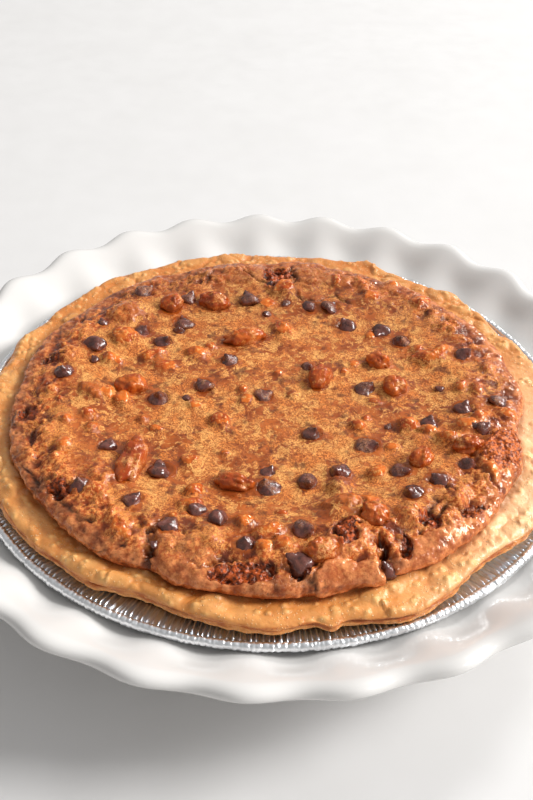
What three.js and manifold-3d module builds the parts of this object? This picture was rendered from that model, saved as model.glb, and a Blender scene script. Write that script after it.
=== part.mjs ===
// Chocolate nut pie in its foil tin, set in a white dish with a ruffled rim.
// Millimetres, +Z up. The origin is the middle of the dish's foot, and -Y is the side first seen.
import * as THREE from 'three';
import { mergeVertices } from 'three/addons/utils/BufferGeometryUtils.js';
import Module from 'manifold-3d';

const wasm = await Module();
wasm.setup();

// ---------------------------------------------------------------- driving sizes
const GAP = 0.35; // clear space between pieces that rest on each other
const AROUND = 78; // points round the surfaces where crust and filling meet
const SLIVER = 0.12; // smallest relief that cuts leave standing on the filling

const DISH = {
  foot: 96, // radius of the ring it stands on
  floor: 5.5, // height of the floor inside
  mouth: 118, // radius where the wall turns out into the rim
  mouthHeight: 33.6,
  rim: 146.3, // mean radius of the lip
  rimHeight: 45, // mean height of the lip
  wall: 5.5,
  lip: 4.2, // thickness of the wall at the lip
  lobes: 27, // ruffles round the rim
  waveOut: 2.2, // how far a ruffle swings in and out
  waveUp: 1.5, // how far it rises and falls
  wavesFrom: 121, // radius where the ruffles fade out
};
const SEAT = [-0.5, -4.2]; // the tin stands a little forward of the dish's middle: x, y

const TIN = {
  base: 88,
  mouth: 108,
  rim: 121.4,
  depth: 34,
  foil: 0.6, // thickness of the solid; real foil is thinner
  bead: 1.7, // radius of the rolled edge
  flangeDrop: 3.3, // how far the flange's inner edge lies below the rim
};
const RIM = DISH.floor + GAP + TIN.depth; // height of the foil rim
const FLOOR = DISH.floor + GAP; // height of the tin's underside

const CRUST = {
  thick: 3.6,
  edge: 114.3, // mean radius of the outer edge
  edgeLow: 0.7, // the edge's heights over the foil rim
  edgeTop: 4.9,
  top: 5.3,
  blister: 0.45,
};

const FILL = {
  radius: 102.4, // mean radius where it meets the crust
  towardFront: 3, // its outline bulges to the front and to the left
  towardLeft: 1,
  middle: 8.3, // the top's heights over the foil rim
  ring: 11.3, // mean height of the puffed ring round the middle
  ringTilt: 1.7, // the ring is higher at the front
  ringRadius: 87,
  cell: 7.2, // spacing of the relief
};

const CHIP_RATIO = 0.8; // height of a chocolate chip over its width
const CRACK_CHIP_DROP = 3; // the last chip stands this much lower, in the widest crack
const CHIP_RISE = -0.03; // height of its middle over the surface, over its width

// Bulges and nicks of the crust's outer edge: angle in degrees, millimetres out, width in degrees.
const EDGE_BUMPS = [
  [-144, 2, 6], [-112, -2.5, 8], [-90, 1.2, 6], [-80, 3, 1.8], [-67, 4.6, 7], [-47, -1.2, 6],
  [-37, 2, 4], [14, 1.2, 8], [28, -2.6, 9], [43, 2.6, 2.5], [52, -1.6, 5], [67, 2.2, 3],
  [88, -1.6, 5], [114, 2, 5], [127, 3, 8], [146, 1.6, 9], [159, 2.6, 5], [176, 1.4, 6],
];

// Nicks of the filling's outline, in the same way.
const OUTLINE_BUMPS = [
  [-158, 0.8, 8], [-137, -1, 4], [-124, 0.8, 5], [-113, -2.2, 4], [-89, 1, 6], [-67, -0.6, 3],
  [-44, -0.8, 8], [-12, -3.8, 9], [31, 1, 6], [80, 2.6, 5], [97, -3, 3], [122, 1.8, 3],
  [136, 1.6, 6], [162, 1.6, 10], [178, -1.2, 4],
];

// Chocolate chips where they show: x, y, width.
const CHIPS = [
  [-58, 70, 9.5], [-38, 66, 8], [-39, 48, 9.5], [-56, 40, 7.5], [-47, 34, 8], [-75, 27, 9.5],
  [-85, 7, 8.5], [-18, 21, 8.4], [-28, 4, 8.6], [-45, -5, 9.8], [-3, -2, 8], [-11, 66, 9.8],
  [17, 61, 8], [26, 61, 9.4], [32, 48, 8.6], [47, 43, 8.6], [81, 24, 8.4], [56, 36, 8.6],
  [38, 3, 9.4], [76, -11, 8.4], [90, -7, 7.8], [62, -19, 9.2], [16, -25, 8.2], [37, -32, 9.8],
  [82, -25, 7.4], [-62, -36, 8], [-41, -48, 10], [-69, -61, 9.8], [-49, -67, 8], [-27, -71, 8],
  [-18, -77, 8], [-36, -80, 8.6], [-9, -88, 8.4], [-1, -56, 10], [13, -53, 8.2], [25, -48, 8.6],
  [48, -47, 8], [60, -54, 8.6], [51, -62, 8], [72, -46, 8.6], [12, -82, 9.4], [9, -95, 9.6],
  [39, -93, 6.6],
];

// Bare pieces of walnut: x, y, length, width, heading of the length in degrees.
const NUTS = [
  [-52, -45, 27, 10.5, 82], [-26, 63, 14, 10, -20], [-12, 37, 21, 9, 12], [-57, 2, 14, 10, 5],
  [20, 10, 15, 9, 75], [44, 21, 11, 8, -40], [50, 4, 11, 9, 80], [-14, -54, 15, 8, -15],
  [-45, 60, 12, 10, 60], [56, -41, 11, 9, 60], [74, -36, 12, 9, 10], [36, -74, 11, 9, -30],
  [17, -91, 13, 10, 20],
];

// Nuts that the filling covers, as humps of its top: x, y, length, width, heading, height.
const HUMPS = [
  [-65, 52, 17, 12, 30, 4.3], [-60, 33, 16, 11, 20, 4.1], [-48, 22, 11, 8, 40, 3.2],
  [-85, 19, 11, 8, 70, 2.7], [-71, -6, 16, 11, 15, 3.5], [-58, -11, 8, 7, 0, 3],
  [-72, -18, 7, 6, 0, 2.7], [-78, -36, 10, 8, 60, 3.2], [-68, 18, 9, 7, 0, 3],
  [-32, 23, 11, 7, -10, 3.5], [-19, -23, 8, 7, 0, 2.7], [-30, -45, 10, 8, 10, 3.2],
  [-28, -61, 9, 8, 0, 3.8], [-22, -86, 17, 13, 10, 4.1], [-10, -78, 13, 9, 20, 3.8],
  [2, -81, 12, 8, 0, 3.5], [24, -59, 10, 10, 0, 3.5], [23, -71, 18, 10, 10, 4.6],
  [38, -50, 8, 8, 0, 3.2], [49, -71, 12, 9, 0, 4.1], [56, -28, 18, 9, 5, 4.1],
  [69, -29, 11, 8, 0, 3.5], [66, 22, 14, 9, 10, 3.2], [66, 60, 10, 8, 0, 2.4],
  [78, -21, 12, 9, 20, 3.2], [81, -40, 10, 9, 60, 3], [41, 66, 13, 9, 0, 3.2],
  [4, 38, 10, 9, 60, 3.5], [6, 71, 13, 9, 30, 3], [65, -66, 12, 10, 40, 2.7],
  [53, -22, 8, 7, 0, 2.7],
];

// Puffed plates of broken skin: x, y, length, width, heading of the length, rise.
const PLATES = [
  [26, -102, 26, 17, 0, 2], [60, -87, 44, 17, 33, 2.2], [-30, -94, 38, 16, -32, 1.3],
  [86, -38, 28, 18, 72, 2], [27, -85, 20, 13, 65, 2], [24, 88, 34, 18, -10, 1.6],
  [-16, 88, 30, 16, 8, 1.4], [62, 76, 30, 15, -38, 1],
];

// Cracks: heading, inner and outer radius, width at the top, depth, and turn along the way.
const CRACKS = [
  [-67.3, 85, 109, 8, 8.5, 2],
  [-60.5, 86, 100, 3.2, 4, -2],
  [-113, 97, 109, 4, 4, 1],
  [-96, 88, 100, 5, 4, 16],
];

// ---------------------------------------------------------------- numbers by rule
const TURN = 2 * Math.PI;
const radians = (degrees) => (degrees * Math.PI) / 180;

function smoothstep(from, to, value) {
  const t = Math.min(1, Math.max(0, (value - from) / (to - from)));
  return t * t * (3 - 2 * t);
}

// Repeatable number from 0 to 1 for whole numbers i and j.
function hash(i, j, seed) {
  const value = Math.sin(i * 127.1 + j * 311.7 + seed * 74.7) * 43758.5453;
  return value - Math.floor(value);
}

// Smooth noise from -1 to 1 over the plane.
function noise(x, y, seed) {
  const i = Math.floor(x);
  const j = Math.floor(y);
  const u = smoothstep(0, 1, x - i);
  const v = smoothstep(0, 1, y - j);
  const low = hash(i, j, seed) * (1 - u) + hash(i + 1, j, seed) * u;
  const high = hash(i, j + 1, seed) * (1 - u) + hash(i + 1, j + 1, seed) * u;
  return 2 * (low * (1 - v) + high * v) - 1;
}

// Sum of rounded bumps set round a circle.
function bumps(list, angle) {
  let sum = 0;
  for (const [at, out, width] of list) {
    const away = Math.atan2(Math.sin(angle - radians(at)), Math.cos(angle - radians(at)));
    sum += out * Math.exp(-((away / radians(width)) ** 2));
  }
  return sum;
}

// ---------------------------------------------------------------- making bodies
function ring(count, place) {
  return Array.from({ length: count }, (_, i) => place((i / count) * TURN));
}

function polar(radius, angle, z) {
  return new THREE.Vector3(radius * Math.cos(angle), radius * Math.sin(angle), z);
}

// Closed body through rings that may differ in count; one point closes an end.
function bodyFromRings(rings) {
  const points = rings.flat();
  const index = [];
  let start = 0;
  for (let k = 0; k + 1 < rings.length; k += 1) {
    const below = rings[k].length;
    const above = rings[k + 1].length;
    const next = start + below;
    let i = 0;
    let j = 0;
    while (i < (below > 1 ? below : 0) || j < (above > 1 ? above : 0)) {
      const belowFirst = above === 1 || j >= above || (i + 1) / below <= (j + 1) / above;
      const stepBelow = below > 1 && i < below && belowFirst;
      const a = start + (i % below);
      const b = next + (j % above);
      if (stepBelow) {
        index.push(a, start + ((i + 1) % below), b);
        i += 1;
      } else {
        index.push(a, next + ((j + 1) % above), b);
        j += 1;
      }
    }
    start = next;
  }
  const geometry = new THREE.BufferGeometry().setFromPoints(points);
  geometry.setIndex(index);
  return geometry;
}

function toManifold(geometry) {
  const plain = new THREE.BufferGeometry();
  plain.setAttribute('position', geometry.getAttribute('position').clone());
  plain.setIndex(geometry.index ? geometry.index.clone() : null);
  const merged = mergeVertices(plain, 1e-4);
  return new wasm.Manifold(new wasm.Mesh({
    numProp: 3,
    vertProperties: new Float32Array(merged.getAttribute('position').array),
    triVerts: new Uint32Array(merged.index.array),
  }));
}

// The main body, without loose scraps that a cut leaves.
function mainBody(body) {
  return body.decompose().reduce((most, part) => (part.volume() > most.volume() ? part : most));
}

function fromManifold(body) {
  const mesh = body.getMesh();
  const geometry = new THREE.BufferGeometry();
  geometry.setAttribute('position', new THREE.BufferAttribute(new Float32Array(mesh.vertProperties), 3));
  geometry.setIndex(new THREE.BufferAttribute(new Uint32Array(mesh.triVerts), 1));
  return geometry;
}

// ---------------------------------------------------------------- dish
function dishPoint(radius, height, angle) {
  const fade = smoothstep(DISH.wavesFrom, DISH.rim - 3, radius);
  const wave = Math.cos(DISH.lobes * angle) * fade;
  return polar(radius + DISH.waveOut * wave, angle, height + DISH.waveUp * wave);
}

function ruffledDish() {
  const { foot, floor, mouth, mouthHeight, rim, rimHeight, wall, lip } = DISH;
  const full = DISH.lobes * 6;
  const profile = [
    [0, 0, 1],
    [foot, 0, 36],
    [foot + 4, 2, 36],
    [mouth + 2.5, mouthHeight - wall, 54],
    [mouth + 12, mouthHeight - wall + 4.6, DISH.lobes * 3],
    [rim - 4, rimHeight - lip - 1.4, DISH.lobes * 3],
    [rim + 0.6, rimHeight - lip + 0.2, full],
    [rim + 1.6, rimHeight - 2.2, full],
    [rim - 1.2, rimHeight, full],
    [rim - 6, rimHeight - 2, full],
    [rim - 16, rimHeight - 6.6, DISH.lobes * 3],
    [mouth + 4, mouthHeight + 1.2, DISH.lobes * 3],
    [mouth - 1.5, mouthHeight - 1.6, 54],
    [foot + 2.5, floor + 3.5, 40],
    [foot - 2, floor, 40],
    [0, floor, 1],
  ];
  return bodyFromRings(profile.map(([radius, height, count]) => (
    ring(count, (angle) => dishPoint(radius, height, angle))
  )));
}

// ---------------------------------------------------------------- foil tin
// Height of the flange, which climbs gently to the rolled edge.
function flangeTop(radius) {
  return RIM - TIN.flangeDrop + 0.17 * (radius - TIN.mouth - 1.6);
}

function foilTin() {
  const { base, mouth, rim, foil, bead, flangeDrop } = TIN;
  const beadMiddle = rim - bead;
  const rolled = [235, 290, 345, 45, 110, 170].map((degrees) => [
    beadMiddle + bead * Math.cos(radians(degrees)),
    RIM - bead + bead * Math.sin(radians(degrees)),
    64,
  ]);
  const profile = [
    [0, FLOOR, 1],
    [base, FLOOR, 36],
    [base + 2.6, FLOOR + 1, 36],
    [mouth + 0.6, RIM - flangeDrop - foil - 0.9, 64],
    [mouth + 2, RIM - flangeDrop - foil, 64],
    ...rolled,
    [mouth + 1.6, flangeTop(mouth + 1.6), 64],
    [mouth, RIM - flangeDrop - 0.9, 64],
    [base + 2, FLOOR + foil + 1, 36],
    [base - 0.4, FLOOR + foil, 36],
    [0, FLOOR + foil, 1],
  ];
  return bodyFromRings(profile.map(([radius, height, count]) => (
    ring(count, (angle) => polar(radius, angle, height))
  )));
}

// ---------------------------------------------------------------- pastry crust
function fillingRadius(angle) {
  return FILL.radius - FILL.towardFront * Math.sin(angle) - FILL.towardLeft * Math.cos(angle)
    + bumps(OUTLINE_BUMPS, angle);
}

function crustEdge(angle) {
  return CRUST.edge + bumps(EDGE_BUMPS, angle) + 0.5 * Math.sin(11 * angle + 1) + 0.4 * Math.sin(23 * angle);
}

function crustTop(radius, angle) {
  const blisters = noise(radius * 0.16, angle * 16, 3) + 0.7 * noise(radius * 0.3, angle * 30, 8);
  return RIM + CRUST.top + CRUST.blister * blisters;
}

function pastryCrust() {
  const { base, mouth, foil, flangeDrop } = TIN;
  const clear = foil + GAP;
  const round = AROUND;
  const wallTop = RIM - flangeDrop - 0.6;
  const rings = [
    [polar(0, 0, FLOOR + clear)],
    ring(36, (a) => polar(base - 0.9, a, FLOOR + clear)),
    ring(36, (a) => polar(base + 1.4, a, FLOOR + clear + 1.1)),
    ring(64, (a) => polar(mouth - 0.45, a, wallTop)),
    ring(round, (a) => polar(mouth + 0.7, a, wallTop + 1)),
    ring(round, (a) => polar(crustEdge(a) - 2.6, a, flangeTop(crustEdge(a)) + GAP)),
    ring(round, (a) => polar(crustEdge(a) - 0.2, a, RIM + CRUST.edgeLow)),
    ring(round, (a) => polar(crustEdge(a) + 0.4, a, RIM + 2.6)),
    ring(round, (a) => polar(crustEdge(a) - 0.9, a, RIM + CRUST.edgeTop + 0.3 * noise(a * 20, 1, 2))),
    ring(round, (a) => polar(crustEdge(a) - 3.6, a, crustTop(110, a))),
    ring(round, (a) => polar(fillingRadius(a) + 2, a, crustTop(105, a) - 0.4)),
    ring(round, (a) => polar(fillingRadius(a) - 1.8, a, RIM + CRUST.top - 0.9)),
    ring(round, (a) => polar(fillingRadius(a) - 3.4, a, RIM + 0.5)),
    ring(36, (a) => polar(base - 2.4, a, FLOOR + clear + CRUST.thick + 2)),
    ring(36, (a) => polar(base - 5.5, a, FLOOR + clear + CRUST.thick)),
    [polar(0, 0, FLOOR + clear + CRUST.thick)],
  ];
  return bodyFromRings(rings);
}

// ---------------------------------------------------------------- filling
// Square of the distance from an oval's middle, 1 on its outline.
function oval(x, y, [cx, cy, length, width, heading]) {
  const turn = radians(heading);
  const along = (x - cx) * Math.cos(turn) + (y - cy) * Math.sin(turn);
  const across = (y - cy) * Math.cos(turn) - (x - cx) * Math.sin(turn);
  return (2 * along / length) ** 2 + (2 * across / width) ** 2;
}

function hump(x, y, item) {
  return item[5] * Math.exp(-2.2 * oval(x, y, item));
}

function plate(x, y, item) {
  return item[5] * (1 - smoothstep(0.55, 1.35, oval(x, y, item)));
}

function ringHeight(angle) {
  return FILL.ring - FILL.ringTilt * Math.sin(angle);
}

// Height of the filling's top.
function fillingTop(x, y) {
  const radius = Math.hypot(x, y);
  const angle = Math.atan2(y, x);
  const outer = fillingRadius(angle);
  const rise = smoothstep(58, FILL.ringRadius - 3, radius);
  const fall = smoothstep(FILL.ringRadius + 2, outer + 3, radius);
  const ringed = FILL.middle + (ringHeight(angle) - FILL.middle) * rise - 3.4 * fall;
  const covered = HUMPS.reduce((most, item) => Math.max(most, hump(x, y, item)), 0);
  const raised = PLATES.reduce((most, item) => Math.max(most, plate(x, y, item)), 0);
  return RIM + ringed + raised + covered * (1 - 0.6 * fall) + 0.35 * noise(x / 9, y / 9, 5);
}

// Height at which the filling's side rounds over into its top.
function shoulder(angle) {
  const outer = fillingRadius(angle);
  const top = fillingTop(outer * Math.cos(angle), outer * Math.sin(angle)) + 0.6;
  return Math.min(RIM + 10.4, top);
}

function fillingBody() {
  const bottom = FLOOR + TIN.foil + GAP + CRUST.thick + GAP;
  const round = AROUND;
  const steps = Math.round((FILL.radius - 3) / FILL.cell);
  const rings = [
    [polar(0, 0, bottom)],
    ring(36, (a) => polar(TIN.base - 5.9, a, bottom)),
    ring(36, (a) => polar(TIN.base - 2.9, a, bottom + 2)),
    ring(round, (a) => polar(fillingRadius(a) - 3.9, a, RIM + 0.6)),
    ring(round, (a) => polar(fillingRadius(a) - 2.3, a, RIM + CRUST.top - 0.5)),
    ring(round, (a) => polar(fillingRadius(a) - 0.9, a, RIM + CRUST.top + 1.1)),
    ring(round, (a) => polar(fillingRadius(a) + 0.5, a, RIM + 7.9)),
    ring(round, (a) => polar(fillingRadius(a) - 0.9, a, shoulder(a))),
  ];
  for (let k = steps; k > 0; k -= 1) {
    const share = k / steps;
    rings.push(ring(6 * k, (a) => {
      const wander = k === steps ? 0 : 0.3 * FILL.cell;
      const radius = share * (fillingRadius(a) - 4) + wander * noise(a * k, k * 3.7, 11);
      const angle = a + (wander / Math.max(radius, 1)) * noise(a * k, k * 2.3, 12);
      const x = radius * Math.cos(angle);
      const y = radius * Math.sin(angle);
      return new THREE.Vector3(x, y, fillingTop(x, y));
    }));
  }
  rings.push([new THREE.Vector3(0, 0, fillingTop(0, 0))]);
  return bodyFromRings(rings);
}

// Wedge that opens a crack in the filling along a bent line.
function crackWedge([heading, from, to, width, depth, turn]) {
  const stations = 4;
  const sections = [];
  for (let k = 0; k <= stations; k += 1) {
    const share = k / stations;
    const angle = radians(heading + turn * (share - 0.5)) + 0.015 * (k % 2);
    const radius = from + (to - from) * share;
    const middle = polar(radius, angle, 0);
    const ahead = Math.atan2(turn === 0 ? 0 : radians(turn) * radius, to - from) + angle;
    const side = new THREE.Vector3(-Math.sin(ahead), Math.cos(ahead), 0);
    const half = (width / 2) * (0.35 + 0.65 * Math.sin(Math.PI * Math.min(0.9, 0.12 + share)));
    const surface = fillingTop(middle.x, middle.y);
    const corner = (offset, z) => middle.clone().addScaledVector(side, offset).setZ(z);
    sections.push([
      corner(-half * 1.25, surface + 4),
      corner(-half * 0.7, surface - depth),
      corner(half * 0.7, surface - depth),
      corner(half * 1.25, surface + 4),
    ]);
  }
  return sectionsToBody(sections);
}

// Closed body through cross-sections of equal count, with flat ends.
function sectionsToBody(sections) {
  const count = sections[0].length;
  const index = [];
  for (let k = 0; k + 1 < sections.length; k += 1) {
    for (let i = 0; i < count; i += 1) {
      const a = k * count + i;
      const b = k * count + ((i + 1) % count);
      index.push(a, b, b + count, a, b + count, a + count);
    }
  }
  const last = (sections.length - 1) * count;
  for (let i = 1; i + 1 < count; i += 1) {
    index.push(0, i + 1, i, last, last + i, last + i + 1);
  }
  const geometry = new THREE.BufferGeometry().setFromPoints(sections.flat());
  geometry.setIndex(index);
  return geometry;
}

// ---------------------------------------------------------------- chips and nuts
// Drop-shaped chip, grown on all sides by a margin.
function chipBody([x, y, width], order, margin) {
  const half = width / 2;
  const tall = width * CHIP_RATIO;
  const outline = [
    [0, -margin], [half * 0.86 + margin, -margin], [half + margin, tall * 0.26],
    [half * 0.52 + margin, tall * 0.72], [0, tall + margin * 1.5],
  ];
  const sides = 7;
  const geometry = new THREE.LatheGeometry(outline.map(([r, z]) => new THREE.Vector2(r, z)), sides);
  geometry.rotateX(Math.PI / 2);
  geometry.translate(0, 0, -tall * 0.4);
  geometry.rotateX(radians(10 + 55 * hash(order, 1, 21)));
  geometry.rotateZ(TURN * hash(order, 2, 21));
  const drop = order === CHIPS.length - 1 ? CRACK_CHIP_DROP : 0;
  geometry.translate(x, y, fillingTop(x, y) + width * CHIP_RISE - drop);
  return toManifold(geometry);
}

// Broken piece of walnut with a grooved, knobbly back, grown on all sides by a margin.
function nutBody([x, y, length, width, heading], order, margin) {
  const geometry = new THREE.IcosahedronGeometry(1, 1);
  const place = geometry.getAttribute('position');
  for (let i = 0; i < place.count; i += 1) {
    const dir = new THREE.Vector3().fromBufferAttribute(place, i).normalize();
    const knob = 1 + 0.16 * noise(dir.x * 2.6 + order, dir.y * 2.6 + dir.z * 1.7, 31);
    const groove = 1 - 0.22 * Math.exp(-((dir.y / 0.22) ** 2)) * Math.max(0, dir.z);
    const lump = knob * groove;
    place.setXYZ(
      i,
      dir.x * ((length / 2) * lump + margin),
      dir.y * ((width / 2) * lump + margin),
      dir.z * (width * 0.45 * lump + margin),
    );
  }
  geometry.rotateX(radians(30 * (hash(order, 5, 31) - 0.5)));
  geometry.rotateZ(radians(heading));
  geometry.translate(x, y, fillingTop(x, y) + width * 0.12);
  return toManifold(geometry);
}

// ---------------------------------------------------------------- assembly
const glaze = new THREE.MeshStandardMaterial({ color: 0xefedea, roughness: 0.18, metalness: 0 });
const foilMetal = new THREE.MeshStandardMaterial({ color: 0xc9c7c4, roughness: 0.28, metalness: 1 });
const pastry = new THREE.MeshStandardMaterial({ color: 0xd79a52, roughness: 0.7, metalness: 0 });
const custard = new THREE.MeshStandardMaterial({ color: 0xa9683a, roughness: 0.6, metalness: 0 });
const chocolate = new THREE.MeshStandardMaterial({ color: 0x3d2420, roughness: 0.4, metalness: 0 });
const walnut = new THREE.MeshStandardMaterial({ color: 0xb85f28, roughness: 0.35, metalness: 0 });

const group = new THREE.Group();
group.name = 'chocolate_nut_pie';

function addMesh(name, geometry, material, seat = SEAT) {
  geometry.translate(seat[0], seat[1], 0);
  geometry.computeVertexNormals();
  const mesh = new THREE.Mesh(geometry, material.clone());
  mesh.name = name;
  group.add(mesh);
}

function numbered(kind, order) {
  return `${kind}_${String(order + 1).padStart(2, '0')}`;
}

// Each topping is cut back where an earlier one's clear space reaches into it.
function addToppings(filling) {
  let taken = null;
  const kinds = [['chip', CHIPS, chipBody, chocolate], ['nut', NUTS, nutBody, walnut]];
  for (const [kind, list, make, material] of kinds) {
    list.forEach((item, order) => {
      const body = make(item, order, 0);
      const trimmed = taken ? body.subtract(taken) : body;
      addMesh(numbered(kind, order), fromManifold(mainBody(trimmed)), material);
      const room = make(item, order, GAP * 1.15);
      taken = taken ? taken.add(room) : room;
    });
  }
  return filling.subtract(taken);
}

addMesh('ruffled_dish', ruffledDish(), glaze, [0, 0]);
addMesh('foil_tin', foilTin(), foilMetal);
addMesh('pastry_crust', pastryCrust(), pastry);

let filling = toManifold(fillingBody());
for (const crack of CRACKS) {
  filling = filling.subtract(toManifold(crackWedge(crack)));
}
filling = addToppings(filling).asOriginal().simplify(SLIVER);
addMesh('filling', fromManifold(mainBody(toManifold(fromManifold(filling)))), custard);

export default group;
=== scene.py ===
# Chocolate nut pie in a foil tin, set in a white dish with a ruffled rim: the dressed model.
import math

import bpy
import numpy as np
from mathutils import Matrix, Vector


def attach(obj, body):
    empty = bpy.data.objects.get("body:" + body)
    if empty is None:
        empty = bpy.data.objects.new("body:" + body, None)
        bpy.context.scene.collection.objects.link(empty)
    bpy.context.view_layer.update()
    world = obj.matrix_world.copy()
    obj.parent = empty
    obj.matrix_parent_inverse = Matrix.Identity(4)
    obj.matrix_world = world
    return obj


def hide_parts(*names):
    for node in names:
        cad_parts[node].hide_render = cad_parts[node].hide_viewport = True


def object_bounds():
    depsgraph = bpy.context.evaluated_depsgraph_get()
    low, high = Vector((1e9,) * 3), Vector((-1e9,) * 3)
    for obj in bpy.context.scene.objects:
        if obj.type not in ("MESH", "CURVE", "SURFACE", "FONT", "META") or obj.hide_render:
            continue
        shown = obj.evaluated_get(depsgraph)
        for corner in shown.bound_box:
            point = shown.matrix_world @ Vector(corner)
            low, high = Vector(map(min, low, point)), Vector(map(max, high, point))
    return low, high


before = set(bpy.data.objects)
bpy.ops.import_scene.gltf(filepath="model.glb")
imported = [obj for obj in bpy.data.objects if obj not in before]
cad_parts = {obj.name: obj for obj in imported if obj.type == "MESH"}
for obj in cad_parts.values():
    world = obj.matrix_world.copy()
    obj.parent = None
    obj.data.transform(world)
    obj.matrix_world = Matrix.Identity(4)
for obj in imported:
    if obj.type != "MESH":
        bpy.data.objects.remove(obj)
cad_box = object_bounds()

MM = 0.001

# ---------- driving sizes, millimetres
SEAT = np.array([-0.5, -4.2, 0.0])  # middle of the tin, seen from the middle of the dish

DISH_LOBES = 27
DISH_WAVE_OUT = 1.6
DISH_WAVE_UP = 1.15
DISH_POINTS = 16  # round each wave
DISH_FLUTE = 1.5  # depth of the hollows below the waves, in waves
DISH_WAVES_FROM = 121.0
DISH_RIM = 146.3
DISH_PROFILE = [  # radius, height
    (0, 0), (60, 0), (94.8, 0), (96, 0.25), (97.6, 0.9), (100, 2), (110.5, 15), (120.5, 28.1),
    (124.6, 30.6), (130, 33.0), (137, 36.6), (142.3, 39.2), (145.6, 40.5), (147.2, 41.5), (147.7, 42.7),
    (147.1, 43.9), (145.4, 44.7), (143.0, 44.5), (139.3, 42.9), (130.3, 38.4), (122, 34.8), (119, 33.6),
    (116.5, 32),
    (112, 26), (103.5, 14.6), (98.5, 9), (96.5, 6.6), (93.4, 5.5), (60, 5.5), (0, 5.5),
]

TIN_MOUTH = 108.0
TIN_RIM = 121.4
TIN_BASE = 88.0
TIN_FOIL = 0.6
TIN_BEAD = 1.7  # radius of the rolled edge
TIN_DROP = 3.3  # from the rolled edge down to the flange's inner end
FLANGE_SLOPE = 0.17
FLOOR = 5.85  # height of the tin's underside in the dish
RIM = 39.85  # height of the tin's rolled edge
CLEAR = 0.35  # between the tin, the crust and the filling
PLEATS = 372
PLEAT_POINTS = 8  # round each pleat
PLEAT_HEIGHT = 0.72

CRUST_THICK = 3.6
CRUST_EDGE = 114.3
CRUST_TOP = 5.3
CRUST_TURN = 3.2  # how far inside the edge the top starts to turn down
CRUST_SIDE = 3.1  # height of the side that is left below the turn
CRUST_POINTS = 1200  # round the pie
CRUST_UNDER = FLOOR + TIN_FOIL + CLEAR
# Bumps of an outline: heading in degrees, distance, half width in degrees.
EDGE_BUMPS = [
    (-144, 2, 6), (-112, -2.5, 8), (-90, 1.2, 6), (-80, 3, 1.8), (-67, 4.6, 7), (-47, -1.2, 6),
    (-37, 2, 4), (14, 1.2, 8), (28, -2.6, 9), (43, 2.6, 2.5), (52, -1.6, 5), (67, 2.2, 3),
    (88, -1.6, 5), (114, 2, 5), (127, 3, 8), (146, 1.6, 9), (159, 2.6, 5), (176, 1.4, 6),
]
OUTLINE_BUMPS = [
    (-158, 0.8, 8), (-137, -1, 4), (-124, 0.8, 5), (-113, -2.2, 4), (-89, 1, 6), (-67, -0.6, 3),
    (-44, -0.8, 8), (-12, -3.8, 9), (31, 1, 6), (80, 2.6, 5), (97, -3, 3), (122, 1.8, 3),
    (136, 1.6, 6), (162, 1.6, 10), (178, -1.2, 4),
]
FILL_RADIUS = 102.4
FILL_FRONT = 3.0  # how much farther it reaches in front
FILL_LEFT = 1.0
FILL_MIDDLE = 8.3  # heights over the foil rim
FILL_RING = 11.3
FILL_RING_TILT = 1.7
FILL_RING_RADIUS = 87.0
FILL_ROUND = 7.0  # radius of its rounded shoulder
FILL_WAIST = 7.4  # height of its widest place over the foil rim

# Chocolate chips: x, y, width. The last of the first list stands in the widest crack.
CHIPS = [
    (-58, 70, 9.5), (-38, 66, 8), (-39, 48, 9.5), (-56, 40, 7.5), (-47, 34, 8), (-75, 27, 9.5),
    (-85, 7, 8.5), (-18, 21, 8.4), (-28, 4, 8.6), (-45, -5, 9.8), (-3, -2, 8), (-11, 66, 9.8),
    (17, 61, 8), (26, 61, 9.4), (32, 48, 8.6), (47, 43, 8.6), (81, 24, 8.4), (56, 36, 8.6),
    (38, 3, 9.4), (76, -11, 8.4), (90, -7, 7.8), (62, -19, 9.2), (16, -25, 8.2), (37, -32, 9.8),
    (82, -25, 7.4), (-62, -36, 8), (-41, -48, 10), (-69, -61, 9.8), (-49, -67, 8), (-27, -71, 8),
    (-18, -77, 8), (-36, -80, 8.6), (-9, -88, 8.4), (-1, -56, 10), (13, -53, 8.2), (25, -48, 8.6),
    (48, -47, 8), (60, -54, 8.6), (51, -62, 8), (72, -46, 8.6), (12, -82, 9.4), (9, -95, 9.6),
    (39, -93, 6.6),
]
SMALL_CHIPS = [
    (-74, 44.8, 5), (-74.3, 17.9, 4.6), (-34.1, -4.9, 4), (-1.3, 77.8, 5.5), (68.2, 2.6, 4.2),
    (78.3, -24, 3.4), (-39.1, -88.6, 3.4), (6, 63.4, 5), (14.5, 17.6, 5.6), (-40.3, 42.2, 6),
    (-1.2, -47.3, 6.6), (45.7, -20.5, 3.8), (-2.6, 55.5, 4.4),
]
CHIP_RATIO = 0.8  # height for a width of 1
CHIP_RISE = -0.03  # of its middle over the filling, for a width of 1
CRACK_CHIP_DROP = 3.0
CRACK_CHIP_SWELL = 1.3

# Bare walnut pieces: x, y, length, width, heading in degrees.
NUTS = [
    (-52, -45, 27, 10.5, 82), (-26, 63, 14, 10, -20), (-12, 37, 21, 9, 12), (-57, 2, 14, 10, 5),
    (20, 10, 15, 9, 75), (44, 21, 11, 8, -40), (50, 4, 11, 9, 80), (-14, -54, 15, 8, -15),
    (-45, 60, 12, 10, 60), (56, -41, 11, 9, 60), (74, -36, 12, 9, 10), (36, -74, 11, 9, -30),
    (17, -91, 13, 10, 20),
]

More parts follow.
